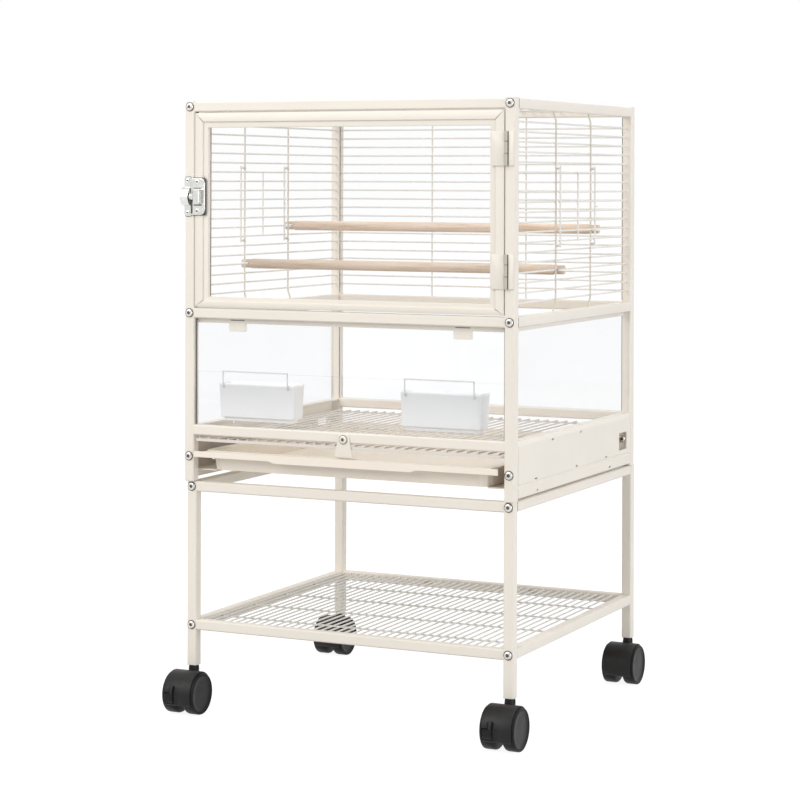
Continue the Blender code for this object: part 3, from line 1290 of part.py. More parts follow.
def casters():
    hoods = {"front": hood_mesh(True), "rear": hood_mesh(False)}
    wheel_pair = wheels_mesh()
    brake = brake_mesh()
    pivot_angle = math.radians(BRAKE_ARM_ANGLES[0])
    pivot_radius = BRAKE_INNER + BRAKE_SHEET / 2
    pivot_y = pivot_radius * math.cos(pivot_angle)
    pivot_z = pivot_radius * math.sin(pivot_angle)
    brake.transform(Matrix.Translation((0.0, -pivot_y, -pivot_z)))
    for row, y in (("front", LEG_FRONT_Y), ("rear", LEG_REAR_Y)):
        for side, sign in (("left", -1), ("right", 1)):
            x = sign * LEG_X
            axle_y = y - CASTER_TRAIL
            name = f"{row}_{side}_caster"
            add_copy(f"{name}_hood", hoods[row].copy(), BLACK_PLASTIC, (x, y, 0.0), smooth=True)
            axle = (x, axle_y, WHEEL_RADIUS)
            add_copy(f"{name}_wheels", wheel_pair.copy(), TREAD_BLACK, axle, smooth=True)
            if row == "front":
                pivot = (x, axle_y + pivot_y, WHEEL_RADIUS + pivot_z)
                add_copy(f"{name}_brake", brake.copy(), BLACK_PLASTIC, pivot, smooth=True)


def build():
    clear_scene()
    origin = bpy.data.objects.new("cage_origin", None)
    origin.location = (0.0, -DEPTH_CENTRE, 0.0)
    bpy.context.scene.collection.objects.link(origin)
    front_frame()
    rear_frame()
    for name, side in (("left", -1), ("right", 1)):
        side_frame(f"{name}_side_frame", side)
        housing(f"{name}_housing", side)
        hatch(f"{name}_hatch", side)
    back_grille()
    top_grille()
    panes()
    door()
    hinge("lower", LOWER_HINGE_Z)
    hinge("upper", UPPER_HINGE_Z)
    latch()
    perch("front_perch", SIDE_UPRIGHT_FRONT_Y + FRONT_PERCH_STEP, FRONT_PERCH_ROW)
    perch("rear_perch", SIDE_UPRIGHT_REAR_Y + REAR_PERCH_STEP, REAR_PERCH_ROW)
    cups()
    floor_grate()
    tray()
    stop_tab()
    front_screws()
    stand_front_frame()
    stand_rear_frame()
    stand_side_rails()
    shelf()
    casters()


build()
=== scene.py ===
"""Looks of the parrot cage: materials, fine pieces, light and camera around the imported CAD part."""

import json
import math

import bmesh
import bpy
from mathutils import Matrix, Vector


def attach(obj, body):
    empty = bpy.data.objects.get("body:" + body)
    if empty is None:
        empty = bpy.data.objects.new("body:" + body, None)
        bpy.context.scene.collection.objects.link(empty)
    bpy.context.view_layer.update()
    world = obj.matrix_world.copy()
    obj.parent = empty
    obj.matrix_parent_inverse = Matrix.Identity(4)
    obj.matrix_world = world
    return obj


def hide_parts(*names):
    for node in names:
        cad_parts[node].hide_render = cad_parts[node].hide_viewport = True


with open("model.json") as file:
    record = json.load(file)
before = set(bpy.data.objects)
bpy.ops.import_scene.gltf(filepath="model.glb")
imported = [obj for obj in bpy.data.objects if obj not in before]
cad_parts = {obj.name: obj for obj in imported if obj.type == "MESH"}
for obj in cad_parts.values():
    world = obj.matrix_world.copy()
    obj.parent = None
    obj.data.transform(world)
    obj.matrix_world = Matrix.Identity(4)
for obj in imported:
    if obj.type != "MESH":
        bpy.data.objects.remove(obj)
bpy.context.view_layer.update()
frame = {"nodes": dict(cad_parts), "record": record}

# Shapes are drawn in millimetres, with Y = 0 at the front face of the cage's posts. The frame
# has metres and Y = 0 at the middle of the part's depth.
MM = 0.001
DEPTH_CENTRE = 191.156

SIDES = (("left", -1), ("right", 1))
SIGNS = (-1, 1)
QUARTERS = [(side, up) for side in SIGNS for up in SIGNS]

bodies = frame["record"]["behaviour"]["bodies"]
body_of = {name: body for body, names in bodies.items() for name in names}
slot_of = {entry["node"]: entry["material_slot"] for entry in frame["record"]["subparts"]}


# Materials
MIX_INPUTS, MIX_OUTPUT = (0, 6, 7), 2  # a mix node's share, its two colours and its result
BEVEL_SAMPLES = 6
EDGE_START, EDGE_END = 0.72, 0.98  # how far the rounded normal agrees with the true one
WHITE = (1.0, 1.0, 1.0)


class Nodes:
    """A node tree, with short calls to add nodes and links."""

    def __init__(self, tree, output_kind):
        self.tree = tree
        self.tree.nodes.clear()
        self.output = self.add(output_kind)

    def add(self, kind, **values):
        node = self.tree.nodes.new(kind)
        for key, value in values.items():
            setattr(node, key, value)
        return node

    def join(self, source, target):
        self.tree.links.new(source, target)

    def feed(self, socket, value):
        """Links another node's output to the socket, or sets it to a number or a colour."""
        if isinstance(value, bpy.types.NodeSocket):
            self.join(value, socket)
        elif isinstance(value, tuple):
            socket.default_value = (*value, 1.0)
        else:
            socket.default_value = value

    def output_of(self, kind, **values):
        """The first output of a new node, whose inputs take values by name, with _ for a space."""
        node = self.add(kind)
        for key, value in values.items():
            self.feed(node.inputs[key.replace("_", " ")], value)
        return node.outputs[0]

    def coordinates(self, stretch=(1.0, 1.0, 1.0)):
        place = self.add("ShaderNodeTexCoord")
        mapping = self.add("ShaderNodeMapping")
        mapping.inputs["Scale"].default_value = stretch
        self.join(place.outputs["Object"], mapping.inputs["Vector"])
        return mapping.outputs["Vector"]

    def noise(self, vector, scale, detail=3.0, roughness=0.5):
        return self.output_of(
            "ShaderNodeTexNoise", Vector=vector, Scale=scale, Detail=detail, Roughness=roughness,
        )

    def ramp(self, value, low, high, start=0.0, end=1.0):
        """From low, where the value is at the start, to high, where it is at the end."""
        return self.output_of(
            "ShaderNodeMapRange", Value=value,
            From_Min=start, From_Max=end, To_Min=low, To_Max=high,
        )

    def drift(self, noise, low, high):
        """A roughness that drifts between two values, over the middle of a noise's range."""
        return self.ramp(noise, low, high, start=0.3, end=0.7)

    def calculated(self, operation, first, second):
        node = self.add("ShaderNodeMath", operation=operation)
        self.feed(node.inputs[0], first)
        self.feed(node.inputs[1], second)
        return node.outputs[0]

    def colours(self, value, stops):
        node = self.add("ShaderNodeValToRGB")
        points = node.color_ramp.elements
        while len(points) < len(stops):
            points.new(0.5)
        for point, (place, colour) in zip(points, stops):
            point.position = place
            point.color = (*colour, 1.0)
        self.join(value, node.inputs["Fac"])
        return node.outputs["Color"]

    def mixed(self, share, first, second):
        node = self.add("ShaderNodeMix", data_type="RGBA")
        for socket, value in zip(MIX_INPUTS, (share, first, second)):
            self.feed(node.inputs[socket], value)
        return node.outputs[MIX_OUTPUT]

    def rounded_normal(self, radius):
        bevel = self.add("ShaderNodeBevel", samples=BEVEL_SAMPLES)
        bevel.inputs["Radius"].default_value = radius
        return bevel.outputs["Normal"]

    def edges(self, normal):
        """One where the rounded normal leaves the true one, at an edge."""
        shape = self.add("ShaderNodeNewGeometry")
        dot = self.add("ShaderNodeVectorMath", operation="DOT_PRODUCT")
        self.join(normal, dot.inputs[0])
        self.join(shape.outputs["Normal"], dot.inputs[1])
        return self.ramp(dot.outputs["Value"], 1.0, 0.0, EDGE_START, EDGE_END)

    def bump(self, height, distance, strength, normal):
        return self.output_of(
            "ShaderNodeBump", Height=height, Distance=distance, Strength=strength, Normal=normal,
        )

    def mixed_shaders(self, share, first, second):
        node = self.add("ShaderNodeMixShader")
        for socket, source in zip(node.inputs, (share, first, second)):
            self.join(source, socket)
        return node.outputs["Shader"]

    def surface(self, shader):
        self.join(shader, self.output.inputs["Surface"])

    def principled(self, **values):
        self.surface(self.output_of("ShaderNodeBsdfPrincipled", **values))


def material_nodes(name):
    """A new material, and the nodes that it is built from."""
    material = bpy.data.materials.new(name)
    material.use_nodes = True
    return material, Nodes(material.node_tree, "ShaderNodeOutputMaterial")


def scaled(colour, factor):
    return tuple(min(1.0, value * factor) for value in colour)


def paint(name, colour, roughness, round_edge):
    """Powder coating: a faint drift of colour, orange peel, dust, and a thinner coat at edges."""
    material, n = material_nodes(name)
    place = n.coordinates()
    tints = ((0.3, scaled(colour, 0.972)), (0.7, scaled(colour, 1.012)))
    cloud = n.colours(n.noise(place, 9.0), tints)
    speck = n.ramp(n.noise(place, 420.0, 2.0), 0.0, 0.1, start=0.6, end=0.8)
    fine = n.mixed(speck, cloud, scaled(colour, 0.86))
    normal = n.rounded_normal(round_edge)
    patches = n.ramp(n.noise(place, 60.0, 4.0), 0.0, 0.5, start=0.45, end=0.75)
    wear = n.calculated("MULTIPLY", n.edges(normal), patches)
    body = n.mixed(wear, fine, (colour[0] * 0.86, colour[1] * 0.84, colour[2] * 0.8))
    gloss = n.drift(n.noise(place, 45.0), roughness - 0.06, roughness + 0.07)
    skin = n.bump(n.noise(place, 700.0, 2.0), 0.00006, 0.35, normal)
    n.principled(Base_Color=body, Roughness=gloss, Normal=skin, IOR=1.5)
    return material


def acrylic(name, tone):
    """A clear sheet: a faint cool tint with painted shade along its edges, a thin reflection, small
    scuffs that soften it.

    It is open to shadow and diffuse rays, so that what stands behind it gets its full light.
    """
    material, n = material_nodes(name)
    scuff = n.noise(n.coordinates(), 35.0, 5.0, 0.65)
    tint = n.colours(scuff, (
        (0.35, scaled((0.997, 0.998, 1.0), tone)),
        (0.75, scaled((0.991, 0.993, 0.995), tone)),
    ))
    # Painted shade: the tint turns darker near the sheet's edges.
    rim = n.edges(n.rounded_normal(0.0012))
    edge_shaded_tint = n.mixed(rim, tint, (0.8, 0.81, 0.81))
    see = n.output_of("ShaderNodeBsdfTransparent", Color=edge_shaded_tint)
    soft = n.ramp(scuff, 0.02, 0.09, start=0.4, end=0.8)
    shine = n.output_of("ShaderNodeBsdfGlossy", Color=WHITE, Roughness=soft)
    facing = n.add("ShaderNodeLayerWeight").outputs["Facing"]
    reflection = n.ramp(n.calculated("POWER", facing, 5.0), 0.022, 0.5)
    sheet = n.mixed_shaders(reflection, see, shine)
    path = n.add("ShaderNodeLightPath").outputs
    light_ray = n.calculated("MAXIMUM", path["Is Shadow Ray"], path["Is Diffuse Ray"])
    n.surface(n.mixed_shaders(light_ray, sheet, n.output_of("ShaderNodeBsdfTransparent")))
    return material


def moulded(name, colour, roughness, grain, depth, round_edge, ior):
    """Injection-moulded plastic: a fine grain, scuffed high spots, rounded edges."""
    material, n = material_nodes(name)
    place = n.coordinates()
    tints = ((0.3, scaled(colour, 0.93)), (0.72, scaled(colour, 1.05)))
    base = n.colours(n.noise(place, 30.0, 4.0), tints)
    normal = n.rounded_normal(round_edge)
    rub = n.ramp(n.noise(place, 160.0, 4.0, 0.6), 0.1, 0.8, start=0.4, end=0.7)
    worn = n.calculated("MULTIPLY", n.edges(normal), rub)
    body = n.mixed(worn, base, tuple(min(1.0, value * 1.2 + 0.006) for value in colour))
    gloss = n.drift(n.noise(place, 70.0), roughness - 0.05, roughness + 0.05)
    skin = n.bump(n.noise(place, grain, 2.0), depth, 0.5, normal)
    n.principled(Base_Color=body, Roughness=gloss, Normal=skin, IOR=ior)
    return material


def chrome(name, colour, roughness):
    """Plated steel: a bright skin with brushed streaks and dull spots, and painted dark reflections
    at the edges.
    """
    material, n = material_nodes(name)
    streak = n.noise(n.coordinates((1.0, 1.0, 0.12)), 900.0, 2.0)
    tints = ((0.3, scaled(colour, 0.9)), (0.7, scaled(colour, 1.06)))
    base = n.colours(n.noise(n.coordinates(), 120.0, 4.0), tints)
    normal = n.rounded_normal(0.0005)
    # Painted reflection: the colour turns dark where the edges are rounded.
    body = n.mixed(n.edges(normal), base, scaled(colour, 0.2))
    gloss = n.drift(streak, roughness - 0.05, roughness + 0.1)
    skin = n.bump(streak, 0.00002, 0.3, normal)
    n.principled(Base_Color=body, Roughness=gloss, Normal=skin, Metallic=1.0)
    return material


def wood(name, tone):
    """A turned beech dowel: long growth lines, short dark flecks and a dry, sanded surface."""
    material, n = material_nodes(name)
    lines = n.noise(n.coordinates((0.05, 1.0, 1.0)), 260.0, 4.0, 0.55)
    broad = n.noise(n.coordinates((0.16, 1.0, 1.0)), 60.0)
    base = n.colours(lines, (
        (0.3, scaled((0.58, 0.435, 0.315), tone)),
        (0.47, scaled((0.765, 0.615, 0.485), tone)),
        (0.62, scaled((0.85, 0.71, 0.585), tone)),
    ))
    streaky = n.mixed(n.ramp(broad, 0.0, 0.45, start=0.35, end=0.7), base, (0.66, 0.5, 0.375))
    fleck = n.noise(n.coordinates((0.13, 1.0, 1.0)), 900.0, 2.0)
    body = n.mixed(n.ramp(fleck, 0.0, 0.55, start=0.66, end=0.76), streaky, (0.34, 0.2, 0.12))
    gloss = n.drift(lines, 0.5, 0.64)
    skin = n.bump(lines, 0.00012, 0.5, n.rounded_normal(0.0006))
    n.principled(Base_Color=body, Roughness=gloss, Normal=skin, IOR=1.45)
    return material


# Paints: colour, roughness, and the radius of rounded edges in metres
cream = paint("cream_paint", (0.852, 0.79, 0.702), 0.42, 0.0011)
wire_cream = paint("wire_paint", (0.835, 0.805, 0.755), 0.45, 0.0004)
# Painted shade: the grate's wires take a darker copy of the wire paint.
grate_shade_paint = paint("grate_shaded_paint", (0.74, 0.69, 0.63), 0.45, 0.0004)
# Painted shade: the side frames' bowed uprights take a darker copy of the wire paint.
upright_shade_paint = paint("upright_shaded_paint", (0.7, 0.645, 0.56), 0.45, 0.0004)
tray_cream = paint("tray_paint", (0.9, 0.822, 0.715), 0.4, 0.001)
# Painted shade: the hinges' knuckles take a darker copy of the cream.
knuckle_shade_paint = paint("shaded_hinge_barrel", (0.5, 0.47, 0.4), 0.38, 0.0004)
bail_wire = paint("bail_wire", (0.72, 0.72, 0.71), 0.35, 0.0003)
gap_dark = paint("gap_shadow", (0.12, 0.105, 0.08), 0.6, 0.0003)
clear = acrylic("clear_acrylic", 0.999)
side_clear = acrylic("side_acrylic", 0.972)
steel = chrome("bright_chrome", (0.7, 0.7, 0.675), 0.15)
screw_steel = chrome("screw_steel", (0.62, 0.6, 0.565), 0.26)
# Painted shade: dark steel for the screws' sockets and outline rings, and for the latch's outlines
# and slot openings.
painted_shade_steel = chrome("painted_shade_steel", (0.1, 0.09, 0.08), 0.5)
beech = wood("beech", 1.0)
dark_beech = wood("dark_beech", 0.86)
# Plastics: colour, roughness, the grain's scale and depth, rounded edges, and IOR
white_plastic = moulded("white_plastic", (1.04, 1.042, 1.04), 0.34, 600.0, 0.00002, 0.0006, 1.46)
hood_black = moulded("hood_plastic", (0.01, 0.0095, 0.0095), 0.46, 1100.0, 0.00005, 0.0006, 1.33)
wheel_black = moulded("wheel_plastic", (0.004, 0.004, 0.004), 0.44, 700.0, 0.00003, 0.0004, 1.27)
cap_black = moulded("wheel_cap_plastic", (0.01, 0.0098, 0.01), 0.38, 900.0, 0.00003, 0.0004, 1.25)

LOOKS = {
    "cream_paint": cream,
    "wire_paint": wire_cream,
    "clear_acrylic": clear,
    "chrome_steel": steel,
    "beech": beech,
    "white_plastic": white_plastic,
    "tray_paint": tray_cream,
    "black_plastic": hood_black,
    "wheel_plastic": wheel_black,
}
SIDE_PANES = ("left_pane", "right_pane")
for name, node in frame["nodes"].items():
    node.data.materials.clear()
    node.data.materials.append(side_clear if name in SIDE_PANES else LOOKS[slot_of[name]])


# Shapes
WIRE_SIDES = 8
WIRE_TIP, WIRE_EASE = 0.55, 0.4  # a wire's end: its radius and its length, as shares of the radius
BACK_EASE = 0.3  # how much of a plate's rounding its back edge gets
TUBE_SIZE, TUBE_CORNER, TUBE_EASE = 12.2, 1.3, 0.35


def clamped(value, limit):
    """The value, with its size kept to a limit."""
    return math.copysign(min(limit, abs(value)), value)


def ring(centre, first, second, radius, sides):
    points = []
    for i in range(sides):
        t = math.tau * i / sides
        points.append(centre + first * radius * math.cos(t) + second * radius * math.sin(t))
    return points


def arc(radius, start, end, steps, centre=(0.0, 0.0)):
    """Points on an arc, with angles in degrees."""
    points = []
    for i in range(steps + 1):
        t = math.radians(start + (end - start) * i / steps)
        points.append((centre[0] + radius * math.cos(t), centre[1] + radius * math.sin(t)))
    return points


def rectangle(x0, y0, x1, y1):
    return [(x0, y0), (x1, y0), (x1, y1), (x0, y1)]


def rounded(width, height, radius, centre, steps=4):
    """A rectangle with rounded corners, anticlockwise."""
    points = []
    for quarter, (sx, sy) in enumerate(((1, 1), (-1, 1), (-1, -1), (1, -1))):
        corner = (centre[0] + sx * (width / 2 - radius), centre[1] + sy * (height / 2 - radius))
        points += arc(radius, 90 * quarter, 90 * quarter + 90, steps, corner)
    return points


def softened(outline, radius, steps):
    """The outline with every corner rounded."""
    points = []
    for i, point in enumerate(outline):
        here = Vector(point)
        before = (Vector(outline[i - 1]) - here).normalized()
        after = (Vector(outline[(i + 1) % len(outline)]) - here).normalized()
        half = before.angle(after) / 2
        reach = radius / math.tan(half)
        centre = here + (before + after).normalized() * radius / math.sin(half)
        start = here + before * reach - centre
        end = here + after * reach - centre
        turn = math.atan2(start.x * end.y - start.y * end.x, start.dot(end))
        first = math.atan2(start.y, start.x)
        for j in range(steps + 1):
            t = first + turn * j / steps
            points.append((centre.x + radius * math.cos(t), centre.y + radius * math.sin(t)))
    return points


def inset(outline, depth):
    """The outline moved inwards all round."""
    area = sum(a[0] * b[1] - b[0] * a[1] for a, b in zip(outline, outline[1:] + outline[:1]))
    turn = 1.0 if area > 0 else -1.0
    points = []
    for i, point in enumerate(outline):
        before = Vector(point) - Vector(outline[i - 1])
        after = Vector(outline[(i + 1) % len(outline)]) - Vector(point)
        one, two = (Vector((-v.y, v.x)).normalized() * turn for v in (before, after))
        lean = max(0.3, 1.0 + one.dot(two))
        points.append(tuple(Vector(point) + (one + two) * depth / lean))
    return points


def placed(axis, a, b, along):
    """A point from two values across an axis, in x, y, z order, and one along it."""
    if axis == "X":
        return Vector((along, a, b))
    if axis == "Y":
        return Vector((a, along, b))
    return Vector((a, b, along))


class Shape:
    """Closed shells collected into one mesh. A look is the number of a shell's material."""

    def __init__(self):
        self.points = []
        self.faces = []
        self.looks = []

    def loft(self, rings, closed=False, look=0):
        start, size, count = len(self.points), len(rings[0]), len(rings)
        faces = []
        for points in rings:
            self.points += [Vector(point) for point in points]
        for i in range(count if closed else count - 1):
            low, high = start + i * size, start + (i + 1) % count * size
            for j in range(size):
                k = (j + 1) % size
                faces.append((low + j, low + k, high + k, high + j))
        if not closed:
            faces.append(tuple(reversed(range(start, start + size))))
            faces.append(tuple(range(start + (count - 1) * size, start + count * size)))
        self.faces += faces
        self.looks += [look] * len(faces)

    def wire(self, path, radius, look=0):
        """A round wire along points, with softened ends."""
        path = [Vector(point) for point in path]
        steps = [(b - a).normalized() for a, b in zip(path, path[1:])]
        first = steps[0].orthogonal().normalized()
        last = len(path) - 1
        rings = []
        for i, point in enumerate(path):
            tangent = (steps[max(i - 1, 0)] + steps[min(i, last - 1)]).normalized()
            first = (first - tangent * first.dot(tangent)).normalized()
            second = tangent.cross(first)
            stops = ((0.0, 1.0),)
            if i == 0:
                stops = ((0.0, WIRE_TIP), (WIRE_EASE, 1.0))
            elif i == last:
                stops = ((-WIRE_EASE, 1.0), (0.0, WIRE_TIP))
            for ahead, share in stops:
                centre = point + tangent * ahead * radius
                rings.append(ring(centre, first, second, share * radius, WIRE_SIDES))
        self.loft(rings, look=look)

    def turned(self, axis, profile, centre, sides, look=0):
        """A solid of revolution. The profile lists (radius, place along the axis)."""
        rings = []
        for radius, along in profile:
            points = []
            for i in range(sides):
                t = math.tau * i / sides
                a, b = centre[0] + radius * math.cos(t), centre[1] + radius * math.sin(t)
                points.append(placed(axis, a, b, along))
            rings.append(points)
        self.loft(rings, look=look)

    def stacked(self, axis, outline, levels, look=0):
        """One outline at several places along an axis, each moved inwards by a depth."""
        rings = []
        for depth, along in levels:
            here = inset(outline, depth) if depth else outline
            rings.append([placed(axis, a, b, along) for a, b in here])
        self.loft(rings, look=look)

    def plate(self, outline, axis, back, front, ease, look=0):
        """A flat piece whose front edge is rounded over, and its back edge a little."""
        turn = 1.0 if front > back else -1.0
        small = BACK_EASE * ease
        levels = ((small, back), (0.0, back + turn * small), (0.0, front - turn * ease))
        levels += ((small, front - turn * small), (ease, front))
        self.stacked(axis, outline, levels, look)

    def square_tube(self, centre, start, end):
        """The outside of a square tube along Y, with rolled corners and eased ends."""
        outline = rounded(TUBE_SIZE, TUBE_SIZE, TUBE_CORNER, centre)
        levels = ((TUBE_EASE, start), (0.0, start + TUBE_EASE))
        levels += ((0.0, end - TUBE_EASE), (TUBE_EASE, end))
        self.stacked("Y", outline, levels)

    def moved(self, other, matrix):
        """Adds a copy of another shape, moved by a matrix."""
        start = len(self.points)
        self.points += [matrix @ point for point in other.points]
        self.faces += [tuple(start + i for i in face) for face in other.faces]
        self.looks += other.looks

    def mesh(self, name, origin):
        built = bmesh.new()
        shift = Vector((0.0, -DEPTH_CENTRE, 0.0)) - origin
        corners = [built.verts.new((point + shift) * MM) for point in self.points]
        for face, look in zip(self.faces, self.looks):
            made = built.faces.new([corners[i] for i in face])
            made.material_index = look
        bmesh.ops.recalc_face_normals(built, faces=built.faces)
        mesh = bpy.data.meshes.new(name)
        built.to_mesh(mesh)
        built.free()
        return mesh


def piece(name, shape, looks, body=None, node=None, origin=(0.0, 0.0, 0.0), angle=38.0):
    """Makes the shape an object that rides on a body. It stands for a CAD node, if one is given.

    The angle, in degrees, is the least one between two faces whose edge stays sharp.
    """
    origin = Vector(origin)
    mesh = shape.mesh(name, origin)
    mesh.shade_smooth()
    mesh.set_sharp_from_angle(angle=math.radians(angle))
    for look in looks:
        mesh.materials.append(look)
    made = bpy.data.objects.new(name, mesh)
    made.location = origin * MM
    bpy.context.scene.collection.objects.link(made)
    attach(made, body or body_of[node])
    if node:
        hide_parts(node)


# Places of the frames' tubes and screws
CAGE_X, STAND_X = 212.15, 210.15  # side tubes, front screws, and the stand's casters
TOP_Z, MIDDLE_Z, HOUSING_SCREW_Z = 740.65, 488.65, 313.4
STAND_TOP_Z, SHELF_Z = 275.95, 106.35
FRONT_END, REAR_END = 13.0, 392.0
SHELF_FRONT_END, SHELF_REAR_END = 16.5, 400.5

# Wire work
WIRE = 1.1
ROW_LEVELS = [509.35 + 11.7 * i for i in range(19)]
HATCH_ROWS = range(6, 14)
UPRIGHTS = (140.0, 257.0)
OVERHANG = 1.3  # how far a wire runs past the last one that it crosses
GRILLE_PITCH, SHELF_PITCH = 13.2, 10.6


def middle_out(pitch, half_count):
    return [pitch * i for i in range(-half_count, half_count + 1)]


def wires_across(shape, half, places, look=0):
    """Wires from side to side, one at each (y, z)."""
    for y, z in places:
        shape.wire([(-half, y, z), (half, y, z)], WIRE, look)


def wires_back(shape, start, end, places, look=0):
    """Wires from front to back, one at each (x, z)."""
    for x, z in places:
        shape.wire([(x, start, z), (x, end, z)], WIRE, look)


def side_frame(name, side):
    """Two rails, the row wires with a gap for the hatch, and two bowed uprights outside them."""
    shape = Shape()
    for z in (TOP_Z, MIDDLE_Z):
        shape.square_tube((side * CAGE_X, z), FRONT_END, REAR_END)
    flange = rectangle(side * 207.25, 476.75, side * 208.75, 484.0)
    shape.plate(flange, "Y", FRONT_END, REAR_END, 0.3)
    for i, z in enumerate(ROW_LEVELS):
        row = [(side * 211.3, z)]
        if i in HATCH_ROWS:
            wires_back(shape, FRONT_END, UPRIGHTS[0] + OVERHANG, row, look=1)
            wires_back(shape, UPRIGHTS[1] - OVERHANG, REAR_END, row, look=1)
        else:
            wires_back(shape, FRONT_END, REAR_END, row, look=1)
    outer_x, low, high = 213.4, 492.75, 736.55
    bends = ((3.4, 0.0), (3.2, 3.0), (2.4, 6.0), (1.2, 9.5), (0.3, 12.5), (0.0, 15.5))
    for y in UPRIGHTS:
        path = [(side * (outer_x - inward), y, low + rise) for inward, rise in bends]
        path += [(side * (outer_x - inward), y, high - drop) for inward, drop in reversed(bends)]
        shape.wire(path, WIRE, look=2)
    piece(name + "_rails", shape, (cream, wire_cream, upright_shade_paint), node=name)


def back_grille():
    shape = Shape()
    wires_across(shape, 205.5, [(397.0, z) for z in ROW_LEVELS])
    for x in (-68.5, 68.5):
        shape.wire([(x, 399.0, 495.05), (x, 399.0, 734.25)], WIRE)
    piece("back_grille_wires", shape, (wire_cream,), node="back_grille")


def top_grille():
    shape = Shape()
    wires_back(shape, 12.75, 392.25, [(x, 742.0) for x in middle_out(GRILLE_PITCH, 15)])
    wires_across(shape, 205.75, [(y, 740.0) for y in UPRIGHTS])
    piece("top_grille_wires", shape, (wire_cream,), node="top_grille")


def hatch(name, side):
    """Wires on three uprights, with open hooks round the side's uprights and a curled grip."""
    row_x, upright_x, hook_x = 217.2, 219.2, 214.0
    low, high = 571.45, 669.55
    hook_radius, hook_wire, hook_drop, hook_steps = 3.25, 1.05, 3.0, 14
    grip_z, grip_wire = 620.05, 1.0
    shape = Shape()
    places = [(side * row_x, ROW_LEVELS[i]) for i in HATCH_ROWS]
    wires_back(shape, UPRIGHTS[0] - OVERHANG, UPRIGHTS[1] + OVERHANG, places)
    for y in UPRIGHTS:
        shape.wire([(side * upright_x, y, low), (side * upright_x, y, high)], WIRE)
        for z in (low + 2.6, high - 2.6):
            path = []
            for i, (a, b) in enumerate(arc(hook_radius, -105, 105, hook_steps)):
                lowered = z + hook_drop / 2 - hook_drop * i / hook_steps
                path.append((side * (hook_x + a), y + b, lowered))
            shape.wire(path, hook_wire)
    middle = sum(UPRIGHTS) / 2
    ends = (ROW_LEVELS[HATCH_ROWS[0]] - OVERHANG, ROW_LEVELS[HATCH_ROWS[-1]] + OVERHANG)
    shape.wire([(side * upright_x, middle, z) for z in ends], WIRE)
    straight = [(side * upright_x, y, grip_z) for y in (255.5, 258.0, 260.2)]
    curl = ((0.2, 261.0), (0.8, 261.8), (1.6, 262.1))
    curled = [(side * (upright_x + a), y, grip_z) for a, y in curl]
    shape.wire(straight + curled, grip_wire)
    piece(name + "_wires", shape, (wire_cream,), node=name)


def floor_grate():
    """Wires on two cross wires, a flat bar at the front and the strip that the stop tab holds."""
    half = 202.5
    shape = Shape()
    wires_back(shape, 0.9, 388.0, [(x, 336.5) for x in middle_out(GRILLE_PITCH, 15)])
    wires_across(shape, half, [(y, 334.5) for y in (198.0, 385.0)])
    shape.plate(rectangle(0.8, 332.1, 2.3, 335.7), "X", -half, half, 0.3)
    shape.plate(rectangle(1.1, 332.4, 8.8, 333.6), "X", -60.0, 39.0, 0.3)
    piece("floor_grate_wires", shape, (grate_shade_paint,), node="floor_grate")


def shelf():
    shape = Shape()
    for side in SIGNS:
        shape.square_tube((side * STAND_X, SHELF_Z), SHELF_FRONT_END, SHELF_REAR_END)
    places = [(x, 109.75) for x in middle_out(SHELF_PITCH, 19)]
    wires_back(shape, SHELF_FRONT_END, SHELF_REAR_END, places, look=1)
    wires_across(shape, 205.5, [(y, 107.7) for y in (65.0, 148.0, 231.0, 314.0)], look=1)
    piece("shelf_wires", shape, (cream, wire_cream), node="shelf")


# Door and hinges
DOOR_HALF, DOOR_LOW, DOOR_HIGH = 204.8, 496.45, 733.05
BAND, BAND_BOTTOM = 11.0, 7.5  # width of the door's members
LIP, LIP_BOTTOM = 18.0, 12.5  # the same with the lip inside them
DOOR_CORNERS = ((-1, -1), (1, -1), (1, 1), (-1, 1))
MEMBER_GAP, MEMBER_EASE, MEMBER_EASE_LENGTH = 0.2, 0.4, 0.5
# Round a section: its place as a share of the width, a shift in millimetres, and Y
MEMBER_SECTION = (
    (0.0, 0.0, 9.6), (0.0, 0.0, 0.6), (0.0, 0.18, 0.18), (0.0, 0.6, 0.0), (1.0, -0.6, 0.0),
    (1.0, -0.18, 0.18), (1.0, 0.0, 0.6), (1.0, 0.0, 9.6), (1.0, -0.4, 10.0), (0.0, 0.4, 10.0),
)
LIP_SECTION = (
    (0.0, -0.5, 2.0), (1.0, -0.5, 2.0), (1.0, -0.1, 2.15), (1.0, 0.0, 2.5),
    (1.0, 0.0, 7.4), (1.0, -0.3, 7.7), (0.0, -0.5, 7.7),
)
HINGE_X, HINGE_Y = 207.9, -2.5
HINGE_HALF = 20.1
KNUCKLE_GAP, DOOR_KNUCKLE_GAP = 0.3, 0.15
LEAF_BACK, LEAF_FACE = -0.3, -1.5


def door_corner(corner, in_x, in_z, y):
    """A point that lies inwards from one of the door's corners."""
    sx, sz = corner
    z = DOOR_HIGH - in_z if sz > 0 else DOOR_LOW + in_z
    return Vector((sx * (DOOR_HALF - in_x), y, z))


def door_member(shape, near, far):
    """A mitred member from one corner to the next, eased at its ends, with a thin gap left."""
    along = (door_corner(far, 0, 0, 0) - door_corner(near, 0, 0, 0)).normalized()
    rings = []
    for corner, ahead in ((near, 1.0), (far, -1.0)):
        full = []
        for share, shift, y in MEMBER_SECTION:
            in_z = share * (BAND_BOTTOM if corner[1] < 0 else BAND) + shift
            full.append(door_corner(corner, share * BAND + shift, in_z, y))
        middle = sum(full, Vector()) / len(full)
        shrunk = []
        for point in full:
            pull = middle - point
            pull -= along * pull.dot(along)
            step = Vector([clamped(value, MEMBER_EASE) for value in pull])
            shrunk.append(point + step + along * MEMBER_GAP * ahead)
        shifted = [point + along * MEMBER_EASE_LENGTH * ahead for point in full]
        rings += [shrunk, shifted] if ahead > 0 else [shifted, shrunk]
    shape.loft(rings)


